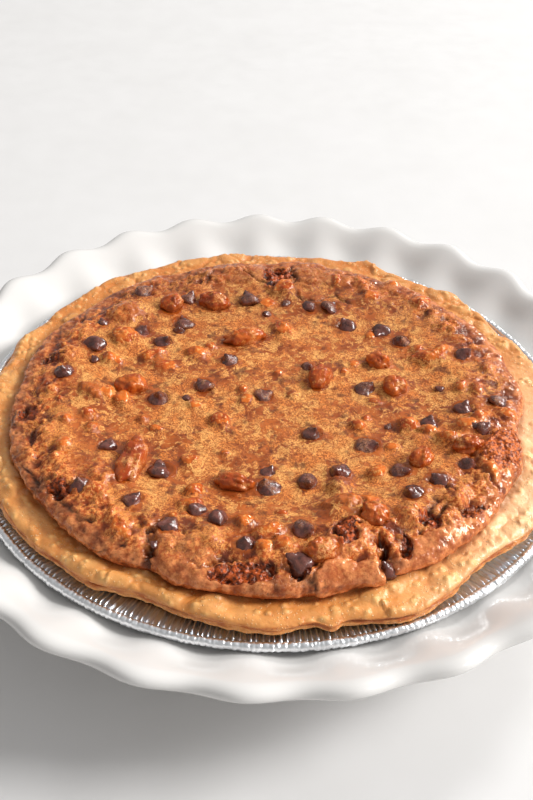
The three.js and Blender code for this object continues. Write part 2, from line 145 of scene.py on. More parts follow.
# Nuts under the filling: x, y, length, width, heading, height, how bare (0 filmed to 1 glossy).
LUMPS = [
    (-31.9, 26.6, 8.8, 6.7, 0, 2.2, 1), (-26.6, 30.7, 4.9, 4.9, 0, 1.6, 0.8),
    (4.4, 43.4, 7.7, 10.2, 30, 3, 0.7), (34.3, 20.3, 5.3, 4.7, 0, 1.2, 0.6),
    (29.8, 14.5, 3.9, 4.6, 0, 1.1, 0.6), (2.4, 12.8, 3.5, 4, 0, 1.1, 0.6),
    (-11.8, 1.4, 4.2, 5, 0, 1.6, 0.9), (-10, -5, 5.9, 6.5, -20, 1.6, 0.7),
    (-30.4, -9.1, 5.8, 4.8, -20, 1.4, 0.7), (-20, -18.3, 8.2, 7.2, -25, 2.4, 0.9),
    (8.1, -1, 4.6, 4.9, 0, 1.2, 0.4), (40.8, -4.8, 5.9, 4.3, -10, 1.3, 0.5),
    (34, -20.1, 6.1, 6.6, 0, 2.2, 1), (37, -15.8, 3.3, 3.6, 0, 1.2, 0.7),
    (-30.4, -42.4, 7.4, 5.6, 10, 2.2, 1), (-17.5, -37.3, 3.5, 3.3, 0, 1, 0.5),
    (24.5, -54.9, 8.4, 8.9, -30, 2.8, 0.25), (39.2, -47.6, 6.6, 7.8, -30, 2.6, 0.7),
    (-27.8, -59.3, 6, 7.1, -30, 2.8, 1), (45.9, -32.8, 6, 3.9, -10, 1.4, 1),
    (-67.9, 19.5, 6.1, 6.6, 0, 2.6, 1), (-64.5, 18.7, 4.4, 5.3, 0, 1.5, 0.7),
    (-52.3, 22.5, 6.1, 6.6, -40, 2.4, 0.9), (-48.4, 25.2, 6.2, 7.2, -30, 2.4, 0.8),
    (-44.3, 16.5, 9.6, 7, -10, 1.8, 0.6), (-70.3, -3, 13.4, 9.9, -15, 3, 0.45),
    (-65.6, -3.9, 5, 7.1, 0, 2.4, 0.9), (-59.9, -5.8, 5.8, 7.6, -20, 2.8, 1),
    (-79.5, -22.9, 3.7, 4.1, 0, 1.8, 1), (-71.8, -17.6, 6.1, 5.2, -40, 2, 0.7),
    (-69.1, -26.1, 4.8, 6.1, 0, 1.6, 0.5), (-77.8, -37.9, 5.5, 7.8, -60, 2.4, 0.9),
    (-84.4, -9.5, 2.5, 2.7, 0, 1, 0.6), (-88.5, 28.4, 3.6, 3.7, 0, 1.4, 0.6),
    (-85.6, 20.1, 10.5, 9.7, 0, 3, 0.4), (-45, -23.7, 4.8, 3.5, -10, 1.4, 0.9),
    (-50.4, -18.4, 4.1, 4.6, 0, 1.4, 0.5), (-63.3, 34.5, 11.7, 11.3, -10, 3.2, 0.7),
    (-64.2, 52.9, 16.7, 14.7, 10, 3.2, 0.35), (53.4, -20.3, 8.2, 7.2, -20, 3.2, 0.9),
    (60.4, -24.3, 7.3, 6.1, -20, 3, 0.7), (67, -29.5, 8.1, 6, -35, 2.8, 0.6),
    (76.5, 2.2, 5.6, 6.8, -20, 2.2, 0.6), (82.6, 0.2, 5.1, 6.8, -20, 2.2, 0.5),
    (81.2, -17.6, 5.8, 6.3, -10, 2.2, 0.6), (75.1, -22.3, 8.2, 6.7, -10, 2.2, 0.7),
    (92, -15.8, 5.8, 6.9, 0, 2.4, 0.7), (80.4, -49.9, 6.6, 8.4, -30, 3, 0.8),
    (80.3, -40.7, 5.5, 5.3, 0, 2.2, 0.8), (33.3, -65.8, 10.5, 6.9, -15, 2.6, 0.6),
    (24.1, -66.8, 12.7, 7.7, 5, 3.8, 0.4), (48.5, -72.7, 9.3, 8.5, -10, 3.2, 0.1),
    (24.9, -86.7, 6.5, 6.4, 0, 3, 0.9), (27.8, -79.7, 5.8, 7.4, -40, 2.4, 0.6),
    (-27.7, -67.8, 8.9, 6, 0, 2.6, 0.8), (-34.2, -75.4, 3.7, 3.3, 0, 1.4, 0.8),
    (-9.1, -77.8, 7.3, 6.2, -15, 2.8, 0.8), (-0.8, -82.8, 10.1, 6.1, 15, 3, 0.8),
    (-2.3, -90, 6.1, 5.5, 0, 2.8, 1), (4, -89, 6.4, 6.7, 10, 3, 0.9), (3.7, -71.5, 4.8, 3.8, 0, 1.4, 0.6),
    (-20.7, -88.2, 7.9, 6.3, 0, 2.2, 0.2), (62, 29.5, 5.4, 6.2, 0, 1.8, 0.6),
    (66, 23.6, 13.3, 9.1, -10, 2.6, 0.6), (71.5, 27.3, 5.4, 8.6, -40, 2.4, 0.7),
    (66.4, 64.3, 8.5, 8.3, -10, 2.4, 0.8), (44.6, 69.2, 7.6, 8.4, 0, 2, 0.8),
    (55.1, 80.1, 6.8, 7.3, 0, 2, 0.6), (78.4, 42.2, 5.5, 6.5, 0, 1.8, 0.4),
    (89.5, 15.9, 6.1, 6, 0, 1.8, 0.5), (29.3, 82.3, 4.4, 10.2, 0, 1.8, 0.9),
    (5.1, 74.9, 11.5, 10, 20, 2.6, 1), (-2.7, 63.9, 6.6, 6.9, 0, 1.6, 0.9),
    (42.1, 40.2, 4.1, 5.1, 0, 1.2, 0.8), (-61.8, -63.4, 4.5, 4.4, 0, 1.8, 0.9),
]

# Cracks: width, depth, and the line that each follows over the filling.
CRACKS = [
    (1.9, 7.0, [(37.4, -84), (38.6, -87.9), (38.9, -92.2), (40.2, -96.3), (41.5, -103)]),
    (0.7, 2.2, [(46, -80), (46.5, -85.6), (45.6, -91)]),
    (1.1, 1.8, [(52.2, -79.4), (54.7, -73.9), (59.3, -72.4), (62.8, -68.1), (66.6, -69.4),
                (69.5, -69.9), (72.8, -67.4), (76.9, -63.5)]),
    (0.9, 1.3, [(56.9, -63.3), (58.6, -65.4), (57.1, -69.7), (54.2, -74)]),
    (1.0, 1.6, [(75.5, -48.5), (79.1, -52.2), (81.1, -55.8), (81.8, -58.7)]),
    (1.2, 2.4, [(-26.5, -95.5), (-23.9, -97.7), (-19.6, -97.3), (-14.8, -95.2), (-9.9, -94.3)]),
    (0.9, 2.0, [(14.6, -98.8), (13.9, -103.5), (15.8, -107)]),
    (1.5, 3.4, [(-41.7, -83.7), (-40.2, -87.2), (-40.5, -90.4), (-41.6, -93.4), (-43.4, -99)]),
    (0.8, 1.6, [(-93, -47), (-88.5, -51.8), (-84.9, -58), (-83.1, -56.8), (-79.7, -55.9), (-77.7, -56.1)]),
    (1.0, 1.8, [(-65.7, -76.8), (-63.9, -75.9), (-60.7, -77.2)]),
    (0.6, 1.0, [(-52.4, -87), (-50.2, -86.8), (-48.4, -87.1)]),
    (0.8, 1.6, [(-77, -65.5), (-73.1, -65.7)]),
    (0.8, 1.6, [(-90.6, 18.1), (-92.6, 20.8), (-95.4, 15.3), (-99.8, 13.2)]),
    (1.1, 1.8, [(-97.6, -17.1), (-95, -16.8)]),
    (0.9, 1.3, [(-90.7, -28), (-90.2, -33.3), (-90.4, -37.7)]),
    (0.9, 1.4, [(-85.7, 52.5), (-83.5, 46)]),
    (1.2, 2.2, [(-14.1, 86.5), (-9.9, 83.8), (-7.9, 81.2), (-4.9, 79.6), (-0.8, 79.8), (0.7, 76.3),
                (3.1, 78.1)]),
    (0.9, 1.5, [(9.3, 97), (8.3, 91.9), (10.7, 84.4), (9.7, 78.2)]),
    (1.2, 1.8, [(10.1, 72.3), (12.5, 67.3), (16.9, 65.7), (20.8, 65.7), (23.4, 69), (28.9, 70.7),
                (31.6, 66.4), (34.4, 63.9)]),
    (0.7, 0.9, [(-28.9, 89.9), (-30.1, 83.1), (-30.8, 76.7)]),
]
# Broken plates of the skin: rise, reach to the left of the line's direction, and the line.
LEDGES = [
    (1.9, 9, [(76.9, -63.5), (72.8, -67.4), (66.6, -69.6), (62.8, -68.1), (59.3, -72.4), (54.7, -73.9)]),
    (1.0, 8, [(43.2, -94), (44.4, -86), (44, -78)]),
    (1.8, 9, [(42, -103), (35.8, -95), (35.4, -86), (32, -79)]),
    (1.7, 8, [(-9.9, -94.3), (-14.8, -95.2), (-19.6, -97.3), (-26, -96)]),
    (1.4, 7, [(-1, -99), (4, -96.5), (12, -99), (14, -107)]),
    (1.6, 7, [(30, -73.6), (32, -67.6), (29, -63)]),
    (1.6, 9, [(34.4, 63.9), (28.9, 70.7), (20.8, 65.7), (12.5, 67.3), (9, 75), (8.3, 92)]),
    (1.5, 8, [(3.1, 78.1), (-0.8, 79.8), (-7.9, 81.2), (-14.1, 86.5)]),
    (1.2, 8, [(-28, 76), (-30.1, 83.1), (-28.9, 89.9)]),
    (1.2, 7, [(-84, -50), (-84.9, -58), (-79.7, -55.9), (-73.1, -65.7), (-65.7, -76.8), (-60, -77)]),
    (1.0, 6, [(81.8, -58.7), (79.1, -52.2), (75.5, -48.5)]),
]
# Places where the skin is gone and the crumb shows: x, y, length, width, heading.
CRUMBLY = [
    (86.5, -36, 13, 25, -18), (-9, -99.6, 21, 9, 4), (10, -97.5, 8, 8, 0), (70.8, -68.6, 13, 5, 30),
    (55.2, -75.1, 8, 7, 0), (46, -86, 2.6, 12, 0), (26, -82.5, 9, 13, 0), (2.4, 86.9, 15, 12, 0),
    (-75.5, -61.5, 7, 10, 40), (80.5, -41, 9, 10, 0), (-97, -17, 4, 7, 0), (-91, 18, 8, 6, -30),
]
HOLES = [  # x, y, radius
    (57.6, -75.1, 1.3), (-96.8, -17.1, 1.1), (-77.1, -64.8, 0.9), (-74.1, -65.6, 0.9), (-13.2, 92, 1.6),
    (2.2, 87.8, 1.1), (6.1, 84, 1.2), (78.9, -13.8, 1.3), (52.1, -80.1, 1.1), (56.6, -74.6, 1),
    (73.9, -66.6, 0.9), (63.2, -58.2, 0.7), (-41.3, -82.5, 1.5), (24.2, -86.5, 0.5), (-19.4, -18.6, 0.6),
]

# ---------- camera
LENS = 47.85
CAMERA_AT = np.array([-2.18, -337.06, 275.96 + RIM]) + SEAT  # solved from the rim of the tin
PITCH = math.radians(38.85)
ROLL = math.radians(0.83)

camera_data = bpy.data.cameras.new("camera")
camera_data.lens = LENS
camera_data.sensor_width = 36.0
camera_data.clip_start = 0.01
camera = bpy.data.objects.new("camera", camera_data)
bpy.context.scene.collection.objects.link(camera)
turned = Matrix.Rotation(math.pi / 2 - PITCH, 4, "X") @ Matrix.Rotation(ROLL, 4, "Z")
camera.matrix_world = Matrix.Translation((CAMERA_AT * MM).tolist()) @ turned
bpy.context.scene.camera = camera


# ---------- numbers by rule
def smoothstep(low, high, value):
    t = np.clip((value - low) / (high - low), 0.0, 1.0)
    return t * t * (3 - 2 * t)


def chance(i, j, seed):
    value = np.sin(i * 127.1 + j * 311.7 + seed * 74.7) * 43758.5453
    return value - np.floor(value)


def noise(x, y, seed):
    """Smooth noise from -1 to 1 over the plane."""
    i, j = np.floor(x), np.floor(y)
    u, v = smoothstep(0, 1, x - i), smoothstep(0, 1, y - j)
    low = chance(i, j, seed) * (1 - u) + chance(i + 1, j, seed) * u
    high = chance(i, j + 1, seed) * (1 - u) + chance(i + 1, j + 1, seed) * u
    return 2 * (low * (1 - v) + high * v) - 1


def rough_noise(x, y, seed, octaves=4, fall=0.5):
    total, size = 0.0, 1.0
    for k in range(octaves):
        total = total + size * noise(x * 2 ** k + 17.3 * k, y * 2 ** k - 9.1 * k, seed + k)
        size *= fall
    return total


def noise3(p, seed):
    """Smooth noise from -1 to 1 in space; p is n by 3."""
    cell = np.floor(p)
    f = smoothstep(0, 1, p - cell)
    total = 0.0
    for corner in np.ndindex(2, 2, 2):
        x, y, z = (cell + corner).T
        value = np.sin(x * 127.1 + y * 311.7 + z * 74.7 + seed * 19.19) * 43758.5453
        weight = 1.0
        for axis, far in enumerate(corner):
            weight = weight * (f[:, axis] if far else 1 - f[:, axis])
        total = total + (value - np.floor(value)) * weight
    return 2 * total - 1


def pebbles(x, y, seed, jitter=0.9):
    """Distance to the nearest of scattered points, one to a unit cell."""
    i, j = np.floor(x), np.floor(y)
    nearest = np.full(np.shape(x), 9.0)
    for di in (-1, 0, 1):
        for dj in (-1, 0, 1):
            px = i + di + 0.5 + jitter * (chance(i + di, j + dj, seed) - 0.5)
            py = j + dj + 0.5 + jitter * (chance(i + di, j + dj, seed + 5) - 0.5)
            nearest = np.minimum(nearest, np.hypot(x - px, y - py))
    return nearest


def bell(t):
    return np.exp(-t ** 2)


def spread(value, low, high):
    return np.clip((value - low) / (high - low), 0, 1)


def bumps(table, angle):
    """Sum of rounded bumps round the pie: heading in degrees, height, half width in degrees."""
    total = 0.0
    for at, out, width in table:
        away = angle - math.radians(at)
        away = np.arctan2(np.sin(away), np.cos(away))
        total = total + out * bell(away / math.radians(width))
    return total


def line_distance(x, y, line):
    """Distance to a bent line, the side (positive to the left), and the share of its length."""
    best, side, along = np.full(np.shape(x), 1e9), np.zeros(np.shape(x)), np.zeros(np.shape(x))
    total = sum(math.dist(a, b) for a, b in zip(line, line[1:]))
    run = 0.0
    for (ax, ay), (bx, by) in zip(line, line[1:]):
        dx, dy = bx - ax, by - ay
        length = math.hypot(dx, dy)
        t = np.clip(((x - ax) * dx + (y - ay) * dy) / length ** 2, 0, 1)
        away = np.hypot(x - ax - t * dx, y - ay - t * dy)
        closer = away < best
        best = np.where(closer, away, best)
        side = np.where(closer, (dx * (y - ay) - dy * (x - ax)) / length, side)
        along = np.where(closer, (run + t * length) / total, along)
        run += length
    return best, side, along


# ---------- mesh building
def ring_angles(count):
    return np.arange(count) / count * 2 * math.pi


def plain_rings(table):
    """Points of flat round rings: radius, height, count."""
    return np.concatenate([polar(r, ring_angles(n), z) for r, z, n in table])


def make_piece(name, points, faces, material, replaced, layers=None, seat=True):
    """A mesh object from points in millimetres, with optional named values per point.

    No point rises over the box of the solids.
    """
    mesh = bpy.data.meshes.new(name)
    placed = points + SEAT if seat else points.copy()
    placed[:, 2] = np.minimum(placed[:, 2], cad_box[1][2] / MM)
    placed = placed * MM
    mesh.from_pydata(placed.tolist(), [], faces)
    mesh.update()
    mesh.shade_smooth()
    for layer, values in (layers or {}).items():
        attribute = mesh.attributes.new(layer, "FLOAT", "POINT")
        attribute.data.foreach_set("value", np.asarray(values, dtype=np.float32))
    mesh.materials.append(material)
    piece = bpy.data.objects.new(name, mesh)
    bpy.context.scene.collection.objects.link(piece)
    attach(piece, "root")
    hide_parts(*replaced)


def polar(radius, angle, height):
    radius, angle, height = np.broadcast_arrays(radius, angle, height)
    return np.stack([radius * np.cos(angle), radius * np.sin(angle), height], axis=-1)


def smooth_profile(corners, step):
    """Points about step apart on a rounded line through the corners."""
    corners = np.array(corners, float)
    spans = np.linalg.norm(np.diff(corners, axis=0), axis=1)
    result = [corners[0]]
    for k, length in enumerate(spans):
        a, b = corners[k], corners[k + 1]
        before, after = corners[max(k - 1, 0)], corners[min(k + 2, len(spans))]
        slope_a = (b - before) * length / (length + (spans[k - 1] if k else 0))
        slope_b = (after - a) * length / (length + (spans[k + 1] if k + 1 < len(spans) else 0))
        pieces = max(1, int(round(length / step)))
        for i in range(1, pieces + 1):
            t = i / pieces
            result.append((2 * t ** 3 - 3 * t ** 2 + 1) * a + (t ** 3 - 2 * t ** 2 + t) * slope_a
                          + (3 * t ** 2 - 2 * t ** 3) * b + (t ** 3 - t ** 2) * slope_b)
    return np.array(result)


# ---------- material building
class Shader:
    """Short calls for a node tree.

    Sizes are in millimetres. A colour is three numbers from 0 to 255, as on a screen, and a word is the
    name of a layer of the mesh.
    """

    def __init__(self, name):
        self.material = bpy.data.materials.new(name)
        self.material.use_nodes = True
        self.tree = self.material.node_tree
        self.tree.nodes.clear()
        self.body = self.add("BsdfPrincipled", {})
        self.add("OutputMaterial", {0: self.body.outputs[0]})
        place = self.add("TexCoord", {}).outputs["Object"]
        self.mm = self.add("VectorMath", {0: place, "Scale": 1.0 / MM}, operation="SCALE").outputs[0]

    def add(self, kind, inputs, **choices):
        node = self.tree.nodes.new("ShaderNode" + kind)
        for key, choice in choices.items():
            setattr(node, key, choice)
        for key, value in inputs.items():
            self.put(node.inputs[key], value)
        return node

    def put(self, socket, value):
        if isinstance(value, str):
            value = self.value(value)
        if isinstance(value, bpy.types.NodeSocket):
            self.tree.links.new(value, socket)
        elif value is not None:
            plain = socket.type == "RGBA" and len(value) == 3
            socket.default_value = srgb(value) if plain else value

    def set(self, name, value):
        self.put(self.body.inputs[name], value)

    def noise(self, size, detail=3.0, rough=0.55, twist=0.0, at=None):
        look = {"Scale": 1.0 / size, "Detail": detail, "Roughness": rough, "Distortion": twist}
        return self.add("TexNoise", {"Vector": at or self.mm, **look}).outputs["Fac"]

    def warped(self, size, amount):
        """Place in millimetres, pushed about by noise."""
        shift = self.add("TexNoise", {"Vector": self.mm, "Scale": 1.0 / size, "Detail": 2.0}).outputs["Color"]
        reach = (2 * amount,) * 3
        return self.add("VectorMath", {0: shift, 1: reach, 2: self.mm}, operation="MULTIPLY_ADD").outputs[0]

    def stretched(self, factors):
        return self.add("VectorMath", {0: self.mm, 1: factors}, operation="MULTIPLY").outputs[0]

    def cells(self, size, at=None):
        return self.add("TexVoronoi", {"Vector": at or self.mm, "Scale": 1.0 / size}).outputs["Distance"]

    def value(self, name):
        return self.add("Attribute", {}, attribute_name=name).outputs["Fac"]

    def crisp(self, name, size, low, high, stray):
        """A mask made sharp again, its outline frayed by noise."""
        frayed = self.math("SUBTRACT", self.noise(size, 5, 0.65, 0.6), 0.5)
        return self.span(self.plus(name, self.times(frayed, stray)), low, high)

    def math(self, operation, a, b=None, clamp=False):
        return self.add("Math", {0: a, 1: b}, operation=operation, use_clamp=clamp).outputs[0]

    def plus(self, a, b):
        return self.math("ADD", a, b)

    def times(self, a, b, clamp=False):
        return self.math("MULTIPLY", a, b, clamp)

    def span(self, value, low, high, to_low=0.0, to_high=1.0, curve="SMOOTHSTEP"):
        ends = {"From Min": low, "From Max": high, "To Min": to_low, "To Max": to_high}
        return self.add("MapRange", {"Value": value, **ends}, interpolation_type=curve).outputs["Result"]

    def mix(self, share, a, b):
        return self.add("Mix", {0: share, 6: a, 7: b}, data_type="RGBA").outputs[2]

    def mottle(self, look, low, high, dark, light):
        """Two colours in patches; the look is the noise's size, detail and roughness."""
        return self.mix(self.span(self.noise(*look), low, high), dark, light)

    def over(self, color, mask, share, paint):
        """Paint laid over a colour where a mask is, as strongly as the share."""
        return self.mix(self.times(mask, share), color, paint)

    def blend(self, share, a, b):
        return self.add("Mix", {0: share, 2: a, 3: b}, data_type="FLOAT").outputs[0]

    def bump(self, height, depth, strength):
        """Relief from a height of 0 to 1 that is depth millimetres deep."""
        lift = {"Strength": strength, "Distance": depth * MM, "Height": height}
        self.set("Normal", self.add("Bump", lift).outputs[0])


def srgb(color):
    """Linear colour of a screen colour from 0 to 255."""
    parts = [c / 255 for c in color]
    return (*(c / 12.92 if c <= 0.04045 else ((c + 0.055) / 1.055) ** 2.4 for c in parts), 1.0)


# ---------- shapes shared by the pieces
# Broad rises of the filling over its nuts: x, y, length, width, heading, height.
HUMPS = [
    (-65, 52, 17, 12, 30, 4.3), (-60, 33, 16, 11, 20, 4.1), (-48, 22, 11, 8, 40, 3.2),
    (-85, 19, 11, 8, 70, 2.7), (-71, -6, 16, 11, 15, 3.5), (-58, -11, 8, 7, 0, 3),
    (-72, -18, 7, 6, 0, 2.7), (-78, -36, 10, 8, 60, 3.2), (-68, 18, 9, 7, 0, 3),
    (-32, 23, 11, 7, -10, 3.5), (-19, -23, 8, 7, 0, 2.7), (-30, -45, 10, 8, 10, 3.2),
    (-28, -61, 9, 8, 0, 3.8), (-22, -86, 17, 13, 10, 4.1), (-10, -78, 13, 9, 20, 3.8),
    (2, -81, 12, 8, 0, 3.5), (24, -59, 10, 10, 0, 3.5), (23, -71, 18, 10, 10, 4.6),
    (38, -50, 8, 8, 0, 3.2), (49, -71, 12, 9, 0, 4.1), (56, -28, 18, 9, 5, 4.1),
    (69, -29, 11, 8, 0, 3.5), (66, 22, 14, 9, 10, 3.2), (66, 60, 10, 8, 0, 2.4),
    (78, -21, 12, 9, 20, 3.2), (81, -40, 10, 9, 60, 3), (41, 66, 13, 9, 0, 3.2),
    (4, 38, 10, 9, 60, 3.5), (6, 71, 13, 9, 30, 3), (65, -66, 12, 10, 40, 2.7),
    (53, -22, 8, 7, 0, 2.7),
]


# Puffed plates of broken skin: x, y, length, width, heading, rise.
PLATES = [
    (26, -102, 26, 17, 0, 2), (60, -87, 44, 17, 33, 2.2), (-30, -94, 38, 16, -32, 1.3),
    (86, -38, 28, 18, 72, 2), (27, -85, 20, 13, 65, 2), (24, 88, 34, 18, -10, 1.6),
    (-16, 88, 30, 16, 8, 1.4), (62, 76, 30, 15, -38, 1),
]


def filling_radius(angle):
    outline = FILL_RADIUS - FILL_FRONT * np.sin(angle) - FILL_LEFT * np.cos(angle)
    return outline + bumps(OUTLINE_BUMPS, angle)


def crust_edge(angle):
    return CRUST_EDGE + bumps(EDGE_BUMPS, angle) + 0.5 * np.sin(11 * angle + 1) + 0.4 * np.sin(23 * angle)


def flange_top(radius):
    return RIM - TIN_DROP + FLANGE_SLOPE * (radius - TIN_MOUTH - 1.6)


def oval(x, y, item):
    """Square of the distance from an oval's middle, 1 on its outline."""
    cx, cy, length, width, heading = item[:5]
    turn = math.radians(heading)
    along = (x - cx) * math.cos(turn) + (y - cy) * math.sin(turn)
    across = (y - cy) * math.cos(turn) - (x - cx) * math.sin(turn)
    return (2 * along / length) ** 2 + (2 * across / width) ** 2


def near_item(x, y, item, times):
    """Which points are near an oval, as their order numbers."""
    reach = max(item[2], item[3]) * times
    return np.nonzero((abs(x - item[0]) < reach) & (abs(y - item[1]) < reach))[0]


def covered(x, y):
    """Height of the broad rises."""
    most = np.zeros(np.shape(x))
    for item in HUMPS:
        most = np.maximum(most, item[5] * np.exp(-2.2 * oval(x, y, item)))
    return most


def ringed_top(radius, angle):
    """Height of the filling without its rises, and a mask of its outer fall."""
    outer = filling_radius(angle)
    rise = smoothstep(58, FILL_RING_RADIUS - 3, radius)
    fall = smoothstep(FILL_RING_RADIUS + 2, outer + 3, radius)
    ring = FILL_RING - FILL_RING_TILT * np.sin(angle)
    return RIM + FILL_MIDDLE + (ring - FILL_MIDDLE) * rise - 3.4 * fall, fall


def filling_top(x, y):
    x, y = np.asarray(x, float), np.asarray(y, float)
    ringed, fall = ringed_top(np.hypot(x, y), np.arctan2(y, x))
    raised = np.zeros(np.shape(x))
    for item in PLATES:
        raised = np.maximum(raised, item[5] * (1 - smoothstep(0.55, 1.35, oval(x, y, item))))
    return ringed + raised + covered(x, y) * (1 - 0.6 * fall) + 0.35 * noise(x / 9, y / 9, 5)


# ---------- filling
TOP_PITCH = 0.68  # between the rings of points
ARC_BEND = 6.2  # mean radius of the shoulder's curve
ARC_SWEEP = math.radians(126)  # how far the shoulder turns


def filling_detail(u, v, radius, angle):
    """Relief of the filling's skin in millimetres, and the masks that its finish uses."""
    def blot(size, seed):
        return noise(u / size, v / size, seed)

    def rough(size, seed, octaves):
        return rough_noise(u / size, v / size, seed, octaves)

    def shaken(size, amount, reach, seed):
        return u / size + amount * blot(reach, seed), v / size + amount * blot(reach, seed + 1)

    outer = filling_radius(angle)
    ring = smoothstep(74, 93, radius + 6 * blot(9, 61))
    shell = smoothstep(-9, -1, radius - outer)
    relief = 0.55 * covered(u, v) * (1 - 0.5 * shell)

    fray = 0.3 * blot(4.5, 40) + 0.14 * blot(1.8, 41)
    raised = np.zeros(u.shape)
    plated = np.zeros(u.shape)
    for index, item in enumerate(PLATES):
        t = oval(u, v, item) * (1 + fray)
        crisp = smoothstep(1.12, 0.86, t) if index < 5 else smoothstep(1.3, 0.7, t)
        raised = np.maximum(raised, item[5] * (0.72 * crisp + 0.28 * (1 - smoothstep(0.2, 1.3, t))))
        plated = np.maximum(plated, crisp if index in (0, 1) else 0.5 * crisp)
    relief += raised * (1 - 0.45 * shell)

    # skin: fine ripples in the middle, coarser knobs and dimples on the ring
    relief += (1 - ring) * (0.2 * rough(5, 31, 3) + 0.1 * rough(1.7, 32, 3))
    relief += ring * (0.55 * rough(7.5, 33, 3) + 0.3 * rough(2.4, 34, 3))
    relief += ring * 0.9 * blot(15, 60)
    wrinkle = 1 - 3.2 * abs(noise(*shaken(3.6, 0.4, 2, 37), 35))
    fine = 0.3 * wrinkle + 0.32 * rough(1.7, 36, 2)
    relief += ring * (1 - 0.55 * shell) * (1 - 0.75 * plated) * fine
    knob = pebbles(*shaken(5.2, 0.3, 3, 62), 64)
    knobby = ring * (1 - 0.75 * shell) * (1 - 0.85 * plated) * smoothstep(-0.1, 0.5, blot(11, 65))
    relief += 1.3 * knobby * (np.clip(1 - 1.7 * knob, 0, 1) ** 0.6 - 0.3)
    pore = pebbles(u / 2.7, v / 2.7, 66)
    open_pore = smoothstep(0.2, 0.08, pore) * smoothstep(0.0, 0.5, blot(9, 67)) * (0.15 + ring)
    relief -= 0.45 * open_pore

    # nuts under the skin: first those of the ring, spread by rule, then those that show one by one
    lump = pebbles(*shaken(8.6, 0.2, 4, 46), 68, 0.8)
    facing = 0.45 + 0.55 * np.cos(angle - math.radians(70)) ** 2
    gate = ring * (1 - 0.85 * shell) * (1 - 0.8 * plated) * facing * smoothstep(-0.25, 0.25, blot(12, 69))
    dome = np.clip(1 - (lump * (2.1 + 0.5 * blot(3, 70))) ** 2, 0, 1) ** 0.6
    relief += 2.2 * gate * dome * (1 + 0.25 * blot(1.9, 48))
    bare = 0.6 * gate * smoothstep(0.45, 0.8, dome + 0.2 * blot(2, 49))
    for index, item in enumerate(LUMPS):
        near = near_item(u, v, item, 1.1)
        a, b = u[near], v[near]
        wobble = 0.3 * noise(a / 2.1 + index, b / 2.1, 71) + 0.16 * noise(a / 0.9, b / 0.9 + index, 72)
        t = oval(a, b, item) * (1 + wobble) * 0.86
        dome = np.clip(1 - t, 0, 1) ** 0.62
        knobs = 1 + 0.2 * noise(a / 2.0, b / 2.0 + index, 73) + 0.1 * noise(a / 0.9, b / 0.9, 74)
        skirt = 0.2 * bell((np.sqrt(t) - 1) / 0.3) * (t > 1) + 0.2 * (t <= 1)
        rise = item[5] * 1.15 * (dome * knobs * 0.8 + skirt)
        relief[near] = np.maximum(relief[near], 0.35 * relief[near] + rise)
        shows = item[6] * smoothstep(0.25, 0.6, dome + 0.25 * noise(a / 1.5, b / 1.5, 75))
        bare[near] = np.maximum(bare[near], shows)

    # places about the chips and bare nuts
    wet = np.zeros(u.shape)
    halo = [(x, y, w, w, 0) for x, y, w in CHIPS[:-1] + SMALL_CHIPS]
    halo += [(x, y, length, width, heading) for x, y, length, width, heading in NUTS]
    for item in halo:
        near = near_item(u, v, item, 1.3)
        away = np.sqrt(oval(u[near], v[near], item))
        relief[near] += 0.22 * bell((away - 1.05) / 0.22) - 0.3 * (away < 0.8)
        some = 0.55 + 0.5 * noise(u[near] / 6, v[near] / 6, 44)
        wet[near] = np.maximum(wet[near], some * bell(np.maximum(away - 0.9, 0) / 0.4))

    # plates of skin that have broken and risen
    warp_u = u + 1.0 * blot(2.6, 81) + 0.6 * blot(1.2, 82)
    warp_v = v + 1.0 * blot(2.6, 83) + 0.6 * blot(1.2, 84)
    # mask of cracks, holes, open pores and the feet of raised plates, which the finish paints near black as
    # shade
    crack_shade = np.zeros(u.shape)
    for rise, reach, line in LEDGES:
        away, side, along = line_distance(warp_u, warp_v, line)
        taper = np.sin(np.pi * np.clip(along, 0.06, 0.94)) ** 0.5
        ends = smoothstep(1.8 * reach, 0.4 * reach, away)
        up = rise * taper * smoothstep(-0.15, 0.55, side) * np.exp(-away / reach) * ends
        relief += up
        foot = bell((side + 0.5) / 0.7) * (away < 2) * taper
        crack_shade = np.maximum(crack_shade, 0.8 * foot)
        relief -= 0.5 * foot
    for width, depth, line in CRACKS:
        away, side, along = line_distance(warp_u, warp_v, line)
        taper = np.sin(np.pi * np.clip(along, 0.05, 0.95)) ** 0.4
        wide = width * (0.8 + 0.35 * blot(3, 85)) * (0.5 + 0.5 * taper)
        cut = bell(away / wide)
        relief -= depth * cut * taper * (1 + 0.22 * blot(1.5, 91))
        crack_shade = np.maximum(crack_shade, bell(away / (wide * 1.15)) * taper)

    # open crumb
    crumb = np.zeros(u.shape)
    for item in CRUMBLY:
        edge = oval(warp_u, warp_v, item) + 0.35 * blot(2.2, 86)
        crumb = np.maximum(crumb, smoothstep(1.15, 0.75, edge))
    grain = pebbles(u / 2.4, v / 2.4, 87)
    small = pebbles(u / 1.0, v / 1.0, 88)
    pit = smoothstep(0.15, 0.6, blot(2.4, 89))
    crumbs = 1.3 * (0.5 - grain) + 0.45 * (0.5 - small) - 1.5 * pit
    # crumb to the right stands proud, and is painted lighter there, as lit from the right
    proud_and_lit = smoothstep(60, 78, u)
    relief += crumb * (crumbs - 0.9 + 0.9 * proud_and_lit + 0.5 * blot(4, 90))
    crack_shade = np.maximum(crack_shade, crumb * smoothstep(0.5, 1.1, pit + grain - 0.25))

    for x, y, size in HOLES:
        away = np.hypot(warp_u - x, warp_v - y) / size
        relief -= 1.5 * size * np.clip(1 - away ** 2, 0, 1) ** 0.5
        crack_shade = np.maximum(crack_shade, smoothstep(1.15, 0.6, away))

